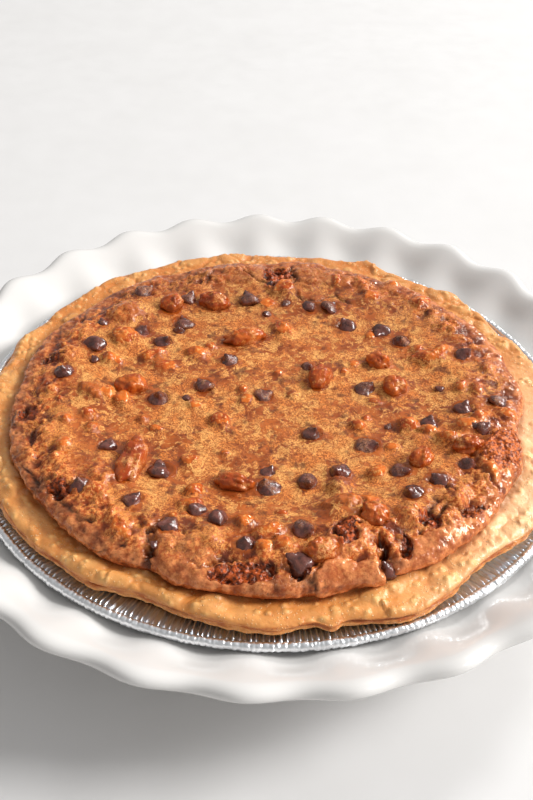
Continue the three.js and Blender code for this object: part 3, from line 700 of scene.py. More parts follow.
    crack_shade = np.maximum(crack_shade, 0.55 * open_pore)
    film = (1 - 0.75 * plated) * (1 - 0.5 * ring) * (1 - wet * 0.9) * (1 - bare) * (1 - crumb)
    film = film * (1 - 0.8 * shell)
    # high: the skin's height from 0 to 1, which the finish uses to paint shade in low places and light on
    # raised ones
    high = np.clip(0.4 + 0.1 * relief + 0.42 * fine + 0.12 * blot(4, 45), 0, 1)
    return relief, {"high": high, "bare": bare, "crumb": crumb, "ring": ring, "crack_shade": crack_shade, "wet": wet,
                    "film": film, "proud_and_lit": proud_and_lit, "rear": smoothstep(20, 95, v),
                    # front plates of skin, which the finish paints lighter and pinker as sheen
                    "front_plate_sheen": plated * smoothstep(-62, -84, v), "shell": np.maximum(shell, 0.8 * plated)}


def make_filling(material):
    steps = int(round((FILL_RADIUS - FILL_ROUND) / TOP_PITCH))
    spans, angles, counts = [np.zeros(1)], [np.zeros(1)], [1]
    for k in range(1, steps + 1):
        angle = ring_angles(6 * k) + 0.35 * k
        share = k / steps
        spans.append(share * (filling_radius(angle) - FILL_ROUND))
        angles.append(angle)
        counts.append(6 * k)
    turn = angles[-1][0]  # each ring below the flat top starts here
    around = 6 * steps
    bends = int(round(ARC_BEND * ARC_SWEEP / TOP_PITCH))
    for j in range(1, bends + 1):
        angle = ring_angles(around) + turn
        spans.append(filling_radius(angle) - FILL_ROUND + j * TOP_PITCH)
        angles.append(angle)
        counts.append(around)
    radius = np.concatenate(spans)
    angle = np.concatenate(angles)
    # each point is moved about, so that no ring shows in the skin
    jitter = TOP_PITCH * 0.22 * smoothstep(2, 6, radius)
    radius = radius + jitter * (2 * chance(np.arange(len(radius)), 1, 7) - 1)
    angle = angle + jitter * (2 * chance(np.arange(len(radius)), 2, 7) - 1) / np.maximum(radius, 1)
    u, v = radius * np.cos(angle), radius * np.sin(angle)

    inner = filling_radius(angle) - FILL_ROUND
    over = np.maximum(radius - inner, 0)
    bend = math.pi / 2 - over / ARC_BEND
    top, _ = ringed_top(np.minimum(radius, inner), angle)
    waist = RIM + FILL_WAIST
    lift = np.where(bend > 0, np.maximum(np.sin(bend), 0) ** 0.8 * (top - waist), 4.4 * np.sin(bend))
    flat = np.where(over > 0, inner + FILL_ROUND * np.cos(bend), radius)
    height = np.where(over > 0, waist + lift, top)
    relief, layers = filling_detail(u, v, radius, angle)
    relief += 0.35 * noise(u / 9, v / 9, 5)
    tuck = smoothstep(-0.1, -0.5, bend)
    relief = relief * (1 - tuck)
    points = polar(flat + relief * np.cos(bend), angle, height + relief * np.sin(bend))

    bottom = CRUST_UNDER + CRUST_THICK + CLEAR
    a = ring_angles(240) + turn
    rings = [points, polar(filling_radius(a) - 3.9, a, RIM + 0.6)]
    counts.append(240)
    for r, z, count in [(TIN_BASE - 2.9, bottom + 2, 90), (TIN_BASE - 5.9, bottom, 90)]:
        rings.append(polar(r, ring_angles(count) + turn, z))
        counts.append(count)
    rings.append(np.array([[0, 0, bottom]]))
    counts.append(1)
    points = np.concatenate(rings)
    extra = len(points) - len(u)
    layers = {k: np.concatenate([val, np.zeros(extra)]) for k, val in layers.items()}
    faces = zip_rings(points, counts)
    make_piece("filling_skin", points, faces, material, ["filling"], layers)


def zip_rings(points, counts):
    """Faces between neighbouring rings, started where the rings' angles meet, facing out."""
    faces = []
    start = 0
    for below, above in zip(counts, counts[1:]):
        after = start + below
        turn_a = np.arctan2(points[start, 1], points[start, 0]) if below > 1 else 0.0
        shift = 0
        if below > 1 and above > 1:
            turn_b = np.arctan2(points[after:after + above, 1], points[after:after + above, 0])
            gap = np.abs(np.angle(np.exp(1j * (turn_b - turn_a))))
            shift = int(np.argmin(gap))
        i = j = 0
        end_i, end_j = (below if below > 1 else 0), (above if above > 1 else 0)
        while i < end_i or j < end_j:
            here, there = start + i % below, after + (j + shift) % above
            if i < end_i and (j >= end_j or (i + 1) * above <= (j + 1) * below):
                faces.append((here, there, start + (i + 1) % below))
                i += 1
            else:
                faces.append((here, there, after + (j + 1 + shift) % above))
                j += 1
        start = after
    return faces


# ---------- crust
def make_crust(material):
    angle = ring_angles(CRUST_POINTS)
    inner = filling_radius(angle)
    edge = crust_edge(angle)
    wave = 1.2 * noise(angle * 9, 3.0, 91) + 0.5 * noise(angle * 23, 5.0, 92)
    under = flange_top(edge) + CLEAR

    # its section, from the filling over the top and down the edge: radius, height, steps to there
    rows = [(inner - 3.4, RIM + 0.5)]

    def follow(*corners):
        for (r0, z0, _), (r1, z1, steps) in zip(corners, corners[1:]):
            for t in np.arange(1, steps + 1) / steps:
                rows.append((r0 * (1 - t) + r1 * t, z0 * (1 - t) + z1 * t))

    follow((inner - 3.4, RIM + 0.5, 0), (inner - 1.8, RIM + CRUST_TOP - 0.9, 5),
           (inner + 2, RIM + CRUST_TOP - 0.4, 6), (edge - CRUST_TURN, RIM + CRUST_TOP, 20))
    for t in np.linspace(0.12, 1, 8):
        bend = t * math.pi / 2
        rows.append((edge - CRUST_TURN + 3.5 * np.sin(bend), RIM + CRUST_SIDE + 2.2 * np.cos(bend)))
    follow((edge + 0.3, RIM + CRUST_SIDE, 0), (edge - 0.1, RIM + 0.9, 8), (edge - 0.9, RIM + 0.35, 2),
           (edge - 2.6, under, 3))
    radius = np.array([r for r, _ in rows])
    height = np.array([np.broadcast_to(z, angle.shape) for _, z in rows])
    turn = np.broadcast_to(angle, radius.shape)
    share = np.cumsum(np.hypot(np.diff(radius, axis=0, prepend=radius[:1]),
                               np.diff(height, axis=0, prepend=height[:1])), axis=0)

    # places on the unrolled surface, in millimetres
    s, along = share, turn * 110
    out = radius - edge
    top = smoothstep(RIM + 3.0, RIM + 4.6, height) * smoothstep(-3.2, -1.2, radius - inner)
    side = smoothstep(-1.3, -0.2, out) * smoothstep(RIM + 4.4, RIM + 3.2, height)

    puff = pebbles(along / 8.5 + 0.35 * noise(along / 6, s / 6, 93),
                   s / 7 + 0.35 * noise(along / 6, s / 6, 94), 95)
    some = smoothstep(-0.5, 0.35, noise(along / 15, s / 9, 96))
    bulge = np.clip(1 - (puff * 1.55) ** 2, 0, 1) ** 0.8 * some
    bubble = pebbles(along / 4.2, s / 4.2, 97)
    some = smoothstep(-0.25, 0.2, noise(along / 5, s / 4, 98))
    blister = np.clip(1 - (bubble * (2.9 + 1.2 * noise(along / 4, s / 4, 99))) ** 2, 0, 1) * some
    relief = top * (1.15 * bulge + 0.6 * blister - 0.4 + 0.6 * noise(along / 13, s / 8, 101)
                    + 0.3 * noise(along / 6, s / 5, 102) + 0.09 * rough_noise(along / 2.6, s / 2.6, 100, 3))
    seam = RIM + 2.4 + 0.5 * noise(along / 14, 2.0, 103)
    # groove: a crease along the cut edge, which the finish paints darker as shade
    groove = bell((height - seam) / 0.36) * smoothstep(0.0, 0.5, noise(along / 9, 5.0, 107))
    lower = smoothstep(seam + 0.2, seam - 0.4, height)
    flaky = 0.45 * noise(along / 5, 7.0, 108) + 0.25 * noise(along / 1.6, height / 0.8, 109)
    relief += side * (0.12 * noise(along / 1.2, height / 0.7, 105) - 0.95 * groove + lower * (0.2 + flaky))
    relief += side * 0.3 * smoothstep(RIM + 1.7, RIM + 0.9, height)

    # scales of pastry that have lifted at the edge: heading in degrees, width, length, rise
    for at, width, length, rise in [(-119, 3.2, 4.5, 1.0), (-71, 3.6, 5, 0.9), (-160, 2.5, 4, 0.7),
                                    (-38, 3, 4, 0.8), (64, 2.4, 4, 0.9), (128, 3, 4, 0.7), (22, 3, 4, 0.7)]:
        away = np.degrees(np.angle(np.exp(1j * (turn - math.radians(at)))))
        away = away + 0.8 * noise(s / 2, along / 2, 106)
        step = smoothstep(-0.15, 0.15, away) * np.exp(-np.clip(away, 0, 99) / width)
        relief += rise * step * smoothstep(-length - 2, -length, out) * top
    flat_normal = smoothstep(RIM + 4.7, RIM + 3.4, height)
    inward = smoothstep(-1.0, -2.2, radius - inner)
    relief = relief * (1 - inward)
    lift = relief * np.sqrt(np.clip(1 - flat_normal ** 2, 0, 1)) + 0.35 * wave * top * (1 - inward)
    push = relief * flat_normal
    low = smoothstep(RIM + 0.6, RIM - 0.5, height)
    radius, height = radius + push * (1 - low), height + lift * (1 - low)

    points = polar(radius, turn, height).reshape(-1, 3)
    counts = [CRUST_POINTS] * len(rows)
    layers = {"side": side, "blister": np.clip(bulge * 0.45 + 0.7 * blister, 0, 1) * top,
              # rear_tone: the crust darker towards the back
              "groove": side * groove, "rear_tone": smoothstep(-20, 110, radius * np.sin(turn)),
              # pale: painted light, the crust paler on its right and front side, which faces the light
              "pale": smoothstep(35, 100, radius * np.cos(turn)) * smoothstep(50, -30, radius * np.sin(turn)),
              "lip": side * smoothstep(RIM + 1.9, RIM + 0.9, height),
              # near: painted shadow on the crust beside the filling, under its overhang
              "near": smoothstep(3.0, 0.2, radius - inner)}
    under, over = CRUST_UNDER, CRUST_UNDER + CRUST_THICK
    head = [(0, over, 1), (TIN_BASE - 5.5, over, 90), (TIN_BASE - 2.4, over + 2, 90)]
    tail = [(TIN_MOUTH + 0.7, RIM - TIN_DROP + 0.4, 300), (TIN_MOUTH - 0.45, RIM - TIN_DROP - 0.6, 150),
            (TIN_BASE + 1.4, under + 1.1, 90), (TIN_BASE - 0.9, under, 90), (0, under, 1)]
    counts = [n for *_, n in head] + counts + [n for *_, n in tail]
    before, behind = plain_rings(head), plain_rings(tail)
    points = np.concatenate([before, points, behind])
    layers = {k: np.concatenate([np.zeros(len(before)), val.reshape(-1), np.zeros(len(behind))])
              for k, val in layers.items()}
    faces = zip_rings(points, counts)
    make_piece("baked_crust", points, faces, material, ["pastry_crust"], layers)


# ---------- dish and tin
def dish_points(profile, count):
    angle = ring_angles(count)
    rows = []
    for radius, height in profile:
        fade = smoothstep(DISH_WAVES_FROM, DISH_RIM - 3, radius)
        wave = np.cos(DISH_LOBES * angle) * fade
        ripple = 0.35 * fade * noise(angle * 6, radius / 30, 111)
        early = smoothstep(112, 134, radius) - smoothstep(DISH_WAVES_FROM, DISH_RIM - 3, radius)
        hollow = DISH_FLUTE * early * (np.cos(DISH_LOBES * angle) - 1)
        rise = DISH_WAVE_UP * (wave + hollow) - abs(ripple) * 0.6
        rows.append(polar(radius + DISH_WAVE_OUT * wave, angle, height + rise))
    return np.concatenate(rows)


def make_dish(material):
    profile = smooth_profile(DISH_PROFILE[1:-1], 1.7)
    around = DISH_LOBES * DISH_POINTS
    points = dish_points(profile, around)
    points = np.concatenate([[[0, 0, 0]], points, [[0, 0, DISH_PROFILE[-1][1]]]])
    points[:, 2] = np.maximum(points[:, 2], 0)
    counts = [1] + [around] * len(profile) + [1]
    make_piece("glazed_dish", points, zip_rings(points, counts), material,
               ["ruffled_dish"], seat=False)


def make_tin(material):
    around = PLEATS * PLEAT_POINTS
    angle = ring_angles(around)
    wander = angle + 0.004 * noise(angle * 30, 0, 121) + 0.002 * noise(angle * 80, 0, 122)
    place = PLEATS * wander / (2 * math.pi)
    pleat = np.floor(place + 0.5) % PLEATS
    deep = 0.45 + 0.9 * chance(pleat, 3, 123) + 0.2 * noise(angle * 40, 1, 123)
    slant = 0.5 * (chance(pleat, 4, 126) - 0.5)
    bead = TIN_RIM - TIN_BEAD
    rows = [(TIN_BASE, FLOOR, 0, 0), (TIN_BASE + 2.6, FLOOR + 1, 0.15, 0),
            (98, FLOOR + 15.6, 0.7, 0), (TIN_MOUTH + 0.3, RIM - TIN_DROP - 1.6, 0.8, 0),
            (TIN_MOUTH + 2, RIM - TIN_DROP - 0.6, 0.6, 0), (bead - 4, flange_top(bead - 4) - 0.6, 0.9, 0),
            (bead - 1.6, RIM - 2.7, 0.5, 0)]
    for degrees in (250, 285, 320, 355, 25, 55, 85, 115, 145, 175):
        bend = math.radians(degrees)
        rows.append((bead + TIN_BEAD * math.cos(bend), RIM - TIN_BEAD + TIN_BEAD * math.sin(bend), 0, 1))
    for r in (bead - 1.9, bead - 2.3, bead - 3.0, bead - 4.4, bead - 6, bead - 8, TIN_MOUTH + 1.6):
        swell = 1.0 if r < bead - 2.6 else (0.6 if r < bead - 2.0 else 0.25)
        rows.append((r, flange_top(r), swell, 0))
    rows += [(TIN_MOUTH, RIM - TIN_DROP - 0.9, 0.8, 0), (98, FLOOR + 16.2, 0.7, 0),
             (TIN_BASE + 2, FLOOR + 1.6, 0.15, 0), (TIN_BASE - 0.4, FLOOR + TIN_FOIL, 0, 0)]
    points, roll = [np.array([[0, 0, FLOOR]])], [np.zeros(1)]
    for index, (r, z, pleated, rolled) in enumerate(rows):
        flange = r > TIN_MOUTH + 1
        across = place - np.floor(place + 0.5) + slant * (r - 115) / 12
        fold = 1.9 * bell(across / 0.19) - 0.6
        swing = PLEAT_HEIGHT * pleated * deep * fold
        crumple = 0.14 * noise(angle * 40, index * 0.9, 124) + 0.2 * noise(angle * 150, index * 0.7, 125)
        crumple = rolled * crumple - rolled * 0.16 * bell(across / 0.2) * deep
        outward = math.cos(math.atan2(z - (RIM - TIN_BEAD), r - bead)) if rolled else 0
        upward = math.sin(math.atan2(z - (RIM - TIN_BEAD), r - bead)) if rolled else 0
        radius = r + (0 if flange else swing) + crumple * outward - 0.25 * rolled
        height = z + (swing if flange else 0) + crumple * upward - 0.15 * rolled
        points.append(polar(radius, angle, np.maximum(height, FLOOR - 0.2)))
        roll.append(np.full(around, float(rolled)))
    points.append(np.array([[0, 0, FLOOR + TIN_FOIL]]))
    roll.append(np.zeros(1))
    counts = [len(p) for p in points]
    points = np.concatenate(points)
    make_piece("crimped_tin", points, zip_rings(points, counts), material, ["foil_tin"],
               {"roll": np.concatenate(roll)})


# ---------- chips and nuts
def rotate_x(points, angle):
    c, s = math.cos(angle), math.sin(angle)
    return points @ np.array([[1, 0, 0], [0, c, s], [0, -s, c]])


def rotate_z(points, angle):
    c, s = math.cos(angle), math.sin(angle)
    return points @ np.array([[c, s, 0], [-s, c, 0], [0, 0, 1]])


def chip_shape(x, y, width, order, drop=0.0):
    half, tall = width / 2, width * CHIP_RATIO
    outline = smooth_profile([(0, 0), (half * 0.6, 0), (half * 0.9, 0.04 * tall), (half * 1.0, tall * 0.24),
                              (half * 0.84, tall * 0.45), (half * 0.46, tall * 0.7),
                              (half * 0.16, tall * 0.92), (0, tall * 1.02)], 0.42)
    around = 30
    rows = [polar(r, ring_angles(around), z) for r, z in outline[1:-1]]
    points = np.concatenate([[[0, 0, 0]]] + rows + [[[0, 0, tall]]])
    lean = (points[:, 2] / tall) ** 2 * 0.16 * width
    points[:, 0] += lean * math.cos(order * 2.4)
    points[:, 1] += lean * math.sin(order * 2.4)
    span = np.linalg.norm(points - [0, 0, tall * 0.35], axis=1, keepdims=True)
    away = (points - [0, 0, tall * 0.35]) / np.maximum(span, 1e-6)
    dent = 0.07 * noise3(points / (width * 0.33) + order * 3.7, 131)
    dent = dent + 0.03 * noise3(points / (width * 0.13) + order * 1.7, 132)
    points = points + away * (dent * width)[:, None]
    points = points - [0, 0, tall * 0.4]
    points = rotate_x(points, math.radians(10 + 55 * float(chance(order, 1, 21))))
    points = rotate_z(points, 2 * math.pi * float(chance(order, 2, 21)))
    covered_up = float(chance(order, 7, 133))
    amount = 0.8 if covered_up > 0.86 else (0.3 if covered_up > 0.6 else 0.08)
    up = spread(points[:, 2] / half, -0.3, 0.7)
    dust = amount * (0.4 + 0.6 * up) * smoothstep(-0.25, 0.35, noise3(points / 2.2 + order, 134))
    rim = spread(-points[:, 2], -0.15 * width, 0.3 * width)
    z = float(filling_top(x, y)) + width * CHIP_RISE - drop
    points = points + [x, y, z]
    counts = [1] + [around] * len(rows) + [1]
    return points, link_shape(counts), {"dust": dust, "rim": rim}


def link_shape(counts):
    """Faces of a closed shape: a point, rings of equal count, a point."""
    faces = []
    start = 0
    for below, above in zip(counts, counts[1:]):
        after = start + below
        if below == 1:
            faces += [(start, after + (j + 1) % above, after + j) for j in range(above)]
        elif above == 1:
            faces += [(start + i, start + (i + 1) % below, after) for i in range(below)]
        else:
            faces += [(start + i, start + (i + 1) % below, after + (i + 1) % below, after + i)
                      for i in range(below)]
        start = after
    return faces


def join_shapes(shapes):
    points, faces, layers, start = [], [], {}, 0
    for shape_points, shape_faces, shape_layers in shapes:
        points.append(shape_points)
        faces += [tuple(i + start for i in face) for face in shape_faces]
        for key, values in shape_layers.items():
            layers.setdefault(key, []).append(values)
        start += len(shape_points)
    return np.concatenate(points), faces, {k: np.concatenate(v) for k, v in layers.items()}


def make_chips(material):
    *loose, (x, y, width) = CHIPS
    shapes = [chip_shape(*item, order) for order, item in enumerate(loose)]
    shapes.append(chip_shape(x, y, width * CRACK_CHIP_SWELL, len(loose), CRACK_CHIP_DROP))
    shapes += [chip_shape(*item, order + 60) for order, item in enumerate(SMALL_CHIPS)]
    points, faces, layers = join_shapes(shapes)
    names = [f"chip_{order + 1:02d}" for order in range(len(CHIPS))]
    make_piece("chocolate_chips", points, faces, material, names, layers)


def nut_shape(x, y, length, width, heading, order):
    rows, around = 34, 52
    grid = [np.array([[0, 0, -1.0]])]
    for k in range(1, rows):
        slope = math.pi * (k / rows - 0.5)
        grid.append(polar(math.cos(slope), ring_angles(around), math.sin(slope)))
    grid.append(np.array([[0, 0, 1.0]]))
    way = np.concatenate(grid)
    knob = 1 + 0.16 * noise(way[:, 0] * 2.6 + order, way[:, 1] * 2.6 + way[:, 2] * 1.7, 31)
    groove = 1 - 0.05 * bell(way[:, 1] / 0.3) * np.maximum(0, way[:, 2])
    size = np.array([length / 2, width / 2, width * 0.45])
    real = way * size
    bend = noise3(real / 4.6 + order * 5.3, 141) + 0.35 * noise3(real / 1.9 + order * 2.1, 142)
    valley = bell(bend / 0.2)
    fine = noise3(real / 0.9 + order, 143)
    lump = knob * groove + 0.13 * bend - 0.07 * valley + 0.02 * fine
    points = way * size * lump[:, None]
    points = rotate_x(points, math.radians(30 * (float(chance(order, 5, 31)) - 0.5)))
    points = rotate_z(points, math.radians(heading))
    points = points + [x, y, float(filling_top(x, y)) + width * 0.12]
    skin = 0.8 * smoothstep(0.1, 0.5, noise3(real / 4.5 + order * 9.1, 144)) * spread(way[:, 2], -0.5, 0.4)
    foot = spread(-way[:, 2], -0.35, 0.3)
    counts = [1] + [around] * (rows - 1) + [1]
    tone = np.full(len(points), float(chance(order, 9, 145)))
    return points, link_shape(counts), {"valley": valley, "skin": skin, "foot": foot, "tone": tone}


def make_nuts(material):
    points, faces, layers = join_shapes([nut_shape(*item, order) for order, item in enumerate(NUTS)])
    names = [f"nut_{order + 1:02d}" for order in range(len(NUTS))]
    make_piece("walnut_pieces", points, faces, material, names, layers)


# ---------- finishes
def filling_finish():
    s = Shader("filling_finish")
    place = s.warped(2.4, 0.9)
    wide = s.noise(4.2, 9, 0.72, 1.0, place)
    cover = s.plus(wide, s.span("film", 0.4, 0.95, -0.085, 0.05, "LINEAR"))
    cover = s.plus(cover, s.span(s.noise(19, 3), 0.36, 0.64, -0.07, 0.055))
    sheet = s.times(s.span(cover, 0.47, 0.53), s.span("film", 0.02, 0.2), True)
    curl = s.noise(1.5, 3, 0.62, 2.6, place)
    lines = s.math("ABSOLUTE", s.math("SUBTRACT", s.noise(2.4, 3, 0.62, 3.0, place), 0.5))
    fibre = s.span(lines, 0.01, 0.05, 1.0, 0.0)
    feather = s.math("MAXIMUM", s.span(curl, 0.46, 0.57), s.times(fibre, 0.85))

    under = s.mottle((11, 4), 0.38, 0.62, (146, 64, 16), (188, 96, 34))
    under = s.mix(s.times(s.span(s.noise(1.6, 4, 0.65), 0.53, 0.64), 0.75), under, (96, 40, 10))
    thick = s.span(s.noise(8, 4, 0.6), 0.4, 0.6)
    lit = s.mix(thick, (237, 140, 62), (255, 186, 104))
    tan = s.mix(feather, s.mix(thick, (144, 58, 12), (184, 90, 30)), lit)
    middle = s.mix(sheet, under, tan)

    # ring skin: painted shade in its low places and painted light on its raised places, by the skin's height
    ring_shaded_low = s.mottle((6, 5, 0.65), 0.38, 0.62, (94, 30, 6), (146, 56, 14))
    ring_lit_top = s.mottle((1.2, 5, 0.72), 0.42, 0.58, (186, 80, 24), (248, 158, 82))
    ring_skin = s.mix(s.span("high", 0.2, 0.62, 0.0, 1.0), ring_shaded_low, ring_lit_top)
    spot = s.span(s.noise(0.8, 4, 0.7), 0.58, 0.68)
    ring_skin = s.over(ring_skin, spot, 0.55, (84, 30, 10))
    ring_skin = s.mix(sheet, ring_skin, s.mix(feather, (170, 74, 16), (246, 160, 76)))
    color = s.mix("ring", middle, ring_skin)

    shell = s.mottle((4.5, 5, 0.65), 0.38, 0.62, (156, 70, 28), (236, 150, 94))
    freckle = s.span(s.noise(0.9, 4, 0.7), 0.56, 0.66)
    shell = s.over(shell, freckle, 0.5, (112, 46, 18))
    color = s.over(color, "shell", 0.8, shell)

    color = s.over(color, "rear", 0.27, (112, 42, 12))
    # painted sheen: the front plates lighter and pinker
    color = s.over(color, "front_plate_sheen", 0.12, (228, 146, 98))
    wet = s.crisp("wet", 1.4, 0.5, 0.62, 0.6)
    pool = s.mix(s.noise(3, 3), (134, 54, 10), (184, 88, 24))
    color = s.over(color, wet, 0.75, pool)
    bare = s.crisp("bare", 1.2, 0.42, 0.56, 0.5)
    nut = s.mottle((6, 3), 0.4, 0.58, (176, 68, 10), (222, 112, 34))
    # painted highlight: pale patches on the bare nuts
    nut = s.mix(s.span(s.noise(1.4, 4, 0.65), 0.52, 0.66), nut, (248, 176, 98))
    color = s.over(color, bare, 0.88, nut)
    # painted shade: the lowest places of the skin darkened to deep brown
    color = s.mix(s.span("high", 0.33, 0.05, 0.0, 0.72), color, (88, 30, 6))
    crumb_here = s.crisp("crumb", 1.5, 0.42, 0.55, 0.5)
    grit = s.span(s.noise(1.3, 4, 0.65), 0.4, 0.6)
    # painted light: the crumb on the right side, which faces the light, is lighter than the darker crumb
    # elsewhere
    deep = s.mix(grit, (88, 24, 4), (192, 82, 22))
    crumb = s.mix("proud_and_lit", deep, s.mix(grit, (124, 42, 8), (222, 112, 40)))
    color = s.mix(crumb_here, color, crumb)
    # painted shade: cracks, holes, pores and the feet of raised plates darkened to near black
    color = s.mix(s.times("crack_shade", 0.9, True), color, s.mix(grit, (30, 8, 3), (96, 34, 12)))
    s.set("Base Color", color)

    smooth = s.math("MAXIMUM", bare, s.times(wet, 0.8))
    rough = s.blend(sheet, 0.34, 0.75)
    skin_gloss = s.span(s.noise(4, 4, 0.6), 0.38, 0.62, 0.12, 0.26)
    rough = s.blend("ring", rough, s.blend(sheet, skin_gloss, 0.5))
    rough = s.blend(smooth, rough, 0.13)
    rough = s.blend(crumb_here, rough, 0.4)
    s.set("Roughness", rough)
    s.set("Specular IOR Level", 0.6)
    s.set("Specular Tint", (1.0, 0.86, 0.72, 1.0))
    fuzz_height = s.times(feather, 0.17)
    ripple = s.times(s.noise(2.2, 3, 0.55), 0.2)
    skin_height = s.blend("ring", ripple, s.times(s.noise(2.0, 2, 0.5, 0.6), 0.72))
    height = s.blend(sheet, skin_height, s.plus(s.times(skin_height, 0.6), fuzz_height))
    height = s.times(height, s.span("shell", 0.2, 0.9, 1.0, 0.55))
    height = s.blend(smooth, height, s.times(s.noise(2.0, 3, 0.55), 0.4))
    clump = s.math("SUBTRACT", 1.0, s.cells(2.1, place))
    height = s.blend(crumb_here, height, s.times(clump, 1.5))
    s.bump(height, 1.0, 0.8)
    return s.material


def chip_finish():
    s = Shader("chip_finish")
    dark = s.mottle((2.6, 4, 0.6), 0.38, 0.62, (70, 28, 20), (112, 56, 44))
    # pale purple patches: chocolate bloom, with painted sheen
    bloom_and_sheen = s.span(s.noise(1.8, 5, 0.65, 0.8), 0.5, 0.66)
    dark = s.over(dark, bloom_and_sheen, 0.35, (138, 88, 78))
    fuzz = s.span(s.noise(0.9, 5, 0.7, 1.4), 0.44, 0.56)
    dust = s.times("dust", fuzz, True)
    color = s.mix(dust, dark, (196, 122, 64))
    color = s.over(color, "rim", 0.35, (84, 40, 22))
    s.set("Base Color", color)
    s.set("Roughness", s.blend(dust, s.span(s.noise(1.6, 4), 0.35, 0.65, 0.12, 0.26), 0.7))
    s.set("Specular IOR Level", 0.85)
    s.bump(s.plus(s.noise(1.7, 4, 0.6), s.times(dust, 0.7)), 0.28, 0.7)
    return s.material


def nut_finish():
    s = Shader("nut_finish")
    pale = s.mottle((5, 3), 0.36, 0.64, (166, 60, 10), (214, 106, 34))
    brown = s.mix(s.noise(3, 3), (128, 40, 6), (176, 70, 16))
    color = s.mix(s.span("tone", 0.0, 1.0, 0.1, 0.7), pale, brown)
    color = s.mix(s.span(s.noise(1.6, 4, 0.65), 0.54, 0.7, 0.0, 0.75), color, (238, 160, 80))
    color = s.over(color, "valley", 0.45, (120, 44, 14))
    film = s.times("skin", s.span(s.noise(1.0, 5, 0.7, 1.2), 0.42, 0.56))
    color = s.mix(film, color, (226, 156, 90))
    color = s.mix("foot", color, (158, 80, 38))
    s.set("Base Color", color)
    s.set("Roughness", s.blend(film, s.span(s.noise(2, 3), 0.4, 0.6, 0.12, 0.24), 0.5))
    s.set("Specular IOR Level", 0.6)
    s.set("Specular Tint", (1.0, 0.86, 0.7, 1.0))
    s.bump(s.noise(2.2, 2, 0.5, 0.6), 0.7, 0.8)
    return s.material


def crust_finish():
    s = Shader("crust_finish")
    gold = s.mottle((16, 3, 0.6), 0.36, 0.64, (222, 142, 70), (240, 168, 96))
    gold = s.mix(s.span(s.noise(6, 4, 0.6), 0.52, 0.7, 0.0, 0.5), gold, (206, 116, 46))
    # crust darker towards the back
    gold = s.over(gold, "rear_tone", 0.68, (196, 112, 46))
    # painted light: crust paler on its right and front side
    gold = s.over(gold, "pale", 0.85, (255, 208, 160))
    gold = s.mix(s.span(s.noise(2.6, 5, 0.68), 0.5, 0.66, 0.0, 0.25), gold, (210, 122, 58))
    pale = s.mix(s.noise(4, 3), (244, 188, 108), (253, 214, 144))
    color = s.mix(s.times("blister", 0.55), gold, pale)
    grains = s.span(s.cells(1.9), 0.2, 0.1)
    grains = s.times(grains, s.span(s.noise(7, 3), 0.42, 0.56))
    color = s.over(color, grains, 0.6, (254, 226, 172))
    beads = s.times(s.span(s.cells(1.15), 0.3, 0.1), s.span(s.noise(5, 3), 0.42, 0.56))
    color = s.over(color, beads, 0.5, (253, 218, 160))
    cut = s.mottle((2.0, 4, 0.6, 0, s.stretched((0.4, 0.4, 1.8))), 0.4, 0.6, (190, 100, 38), (230, 154, 84))
    color = s.mix("side", color, cut)
    color = s.over(color, "lip", 0.8, (236, 168, 96))
    # painted shade in the groove of the cut edge
    color = s.over(color, "groove", 0.85, (150, 72, 28))
    # painted shadow: crust darker beside the filling, under its overhang
    color = s.over(color, "near", 0.55, (132, 66, 30))
    s.set("Base Color", color)
    s.set("Roughness", s.span(s.noise(2.8, 4, 0.6), 0.35, 0.65, 0.24, 0.44))
    s.set("Specular IOR Level", 0.5)
    s.set("Subsurface Weight", 0.08)
    s.set("Subsurface Radius", (1.0, 0.55, 0.25))
    s.set("Subsurface Scale", 0.001)
    s.bump(s.plus(s.noise(1.6, 4, 0.6), s.times(s.plus(grains, beads), 0.8)), 0.34, 0.7)
    return s.material


def foil_finish():
    s = Shader("foil_finish")
    s.set("Metallic", 1.0)
    flange = s.mix(s.noise(5, 3), (222, 233, 246), (236, 245, 254))
    s.set("Base Color", s.mix("roll", flange, (240, 242, 245)))
    s.set("Roughness", s.span(s.noise(3, 4), 0.35, 0.65, 0.28, 0.4))
    s.bump(s.noise(0.8, 4, 0.6, 0.5), 0.1, s.blend("roll", 0.4, 0.9))
    return s.material


def glaze_finish():
    s = Shader("glaze_finish")
    s.set("Base Color", s.mix(s.noise(45, 2), (219, 217, 214), (226, 224, 222)))
    s.set("Roughness", s.span(s.noise(20, 3), 0.3, 0.7, 0.16, 0.24))
    s.set("Specular IOR Level", 0.5)
    s.set("Coat Weight", 0.15)
    s.set("Coat Roughness", 0.12)
    s.bump(s.noise(14, 2), 0.12, 0.25)
    return s.material


def floor_finish():
    s = Shader("floor_finish")
    s.set("Base Color", s.mix(s.noise(60, 4), (218, 217, 216), (227, 226, 226)))
    s.set("Roughness", s.span(s.noise(15, 4), 0.3, 0.7, 0.55, 0.7))
    return s.material


make_dish(glaze_finish())
make_tin(foil_finish())
make_crust(crust_finish())
make_filling(filling_finish())
make_chips(chip_finish())
make_nuts(nut_finish())

# ---------- floor and light
FLOOR_HALF = 6.0  # metres
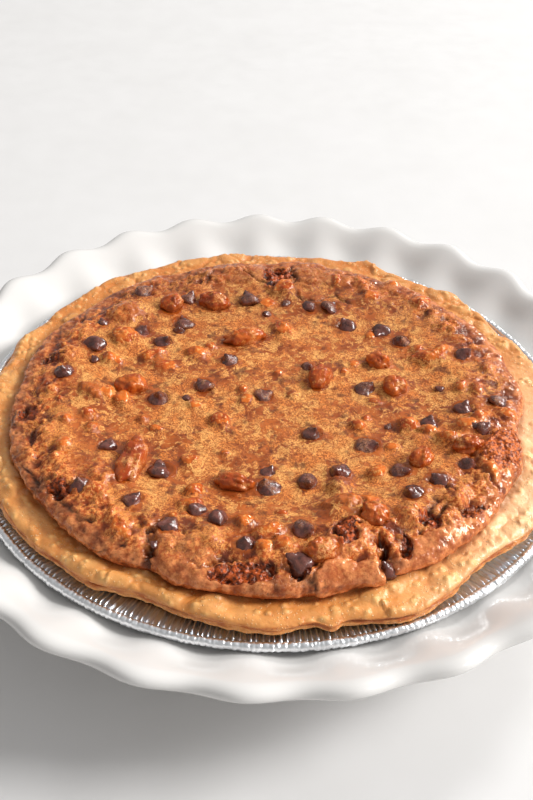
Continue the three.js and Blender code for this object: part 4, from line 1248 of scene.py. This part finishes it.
# Lights, all aimed at the pie: name, place and side in metres, watts, colour.
LIGHTS = [
    ("window", (3.1, 0.1, 2.1), 1.15, 146.0, (1.0, 0.988, 0.97)),
    ("far_side", (1.9, 2.1, 1.9), 0.6, 42.0, (1.0, 0.995, 0.98)),
]
LIGHT_AIM = Vector((0, 0, 0.04))

floor_mesh = bpy.data.meshes.new("floor")
corners = [(x * FLOOR_HALF, y * FLOOR_HALF, 0) for x, y in ((-1, -1), (1, -1), (1, 1), (-1, 1))]
floor_mesh.from_pydata(corners, [], [(0, 1, 2, 3)])
floor_mesh.materials.append(floor_finish())
floor = bpy.data.objects.new("floor", floor_mesh)
bpy.context.scene.collection.objects.link(floor)

for name, at, side, watts, color in LIGHTS:
    lamp = bpy.data.lights.new(name, "AREA")
    lamp.shape = "RECTANGLE"
    lamp.size = lamp.size_y = side
    lamp.energy = watts
    lamp.color = color
    holder = bpy.data.objects.new(name, lamp)
    bpy.context.scene.collection.objects.link(holder)
    way = Vector(at) - LIGHT_AIM
    holder.matrix_world = Matrix.Translation(at) @ way.to_track_quat("Z", "Y").to_matrix().to_4x4()

# the room: even light, stronger from the window's side
world = bpy.data.worlds.new("room")
world.use_nodes = True
tree = world.node_tree
sky = tree.nodes["Background"]
sky.inputs["Color"].default_value = (1.0, 0.99, 0.98, 1.0)
ways = tree.nodes.new("ShaderNodeTexCoord")
toward = tree.nodes.new("ShaderNodeVectorMath")
toward.operation = "DOT_PRODUCT"
toward.inputs[1].default_value = (0.75, 0.2, 0.63)
glow = tree.nodes.new("ShaderNodeMapRange")
for end, value in {"From Min": -0.6, "From Max": 0.95, "To Min": 0.28, "To Max": 0.58}.items():
    glow.inputs[end].default_value = value
tree.links.new(ways.outputs["Generated"], toward.inputs[0])
tree.links.new(toward.outputs["Value"], glow.inputs["Value"])
tree.links.new(glow.outputs["Result"], sky.inputs["Strength"])
bpy.context.scene.world = world
view = bpy.context.scene.view_settings
view.view_transform = "Standard"
view.look = "None"
view.exposure = 0.0
view.gamma = 1.0
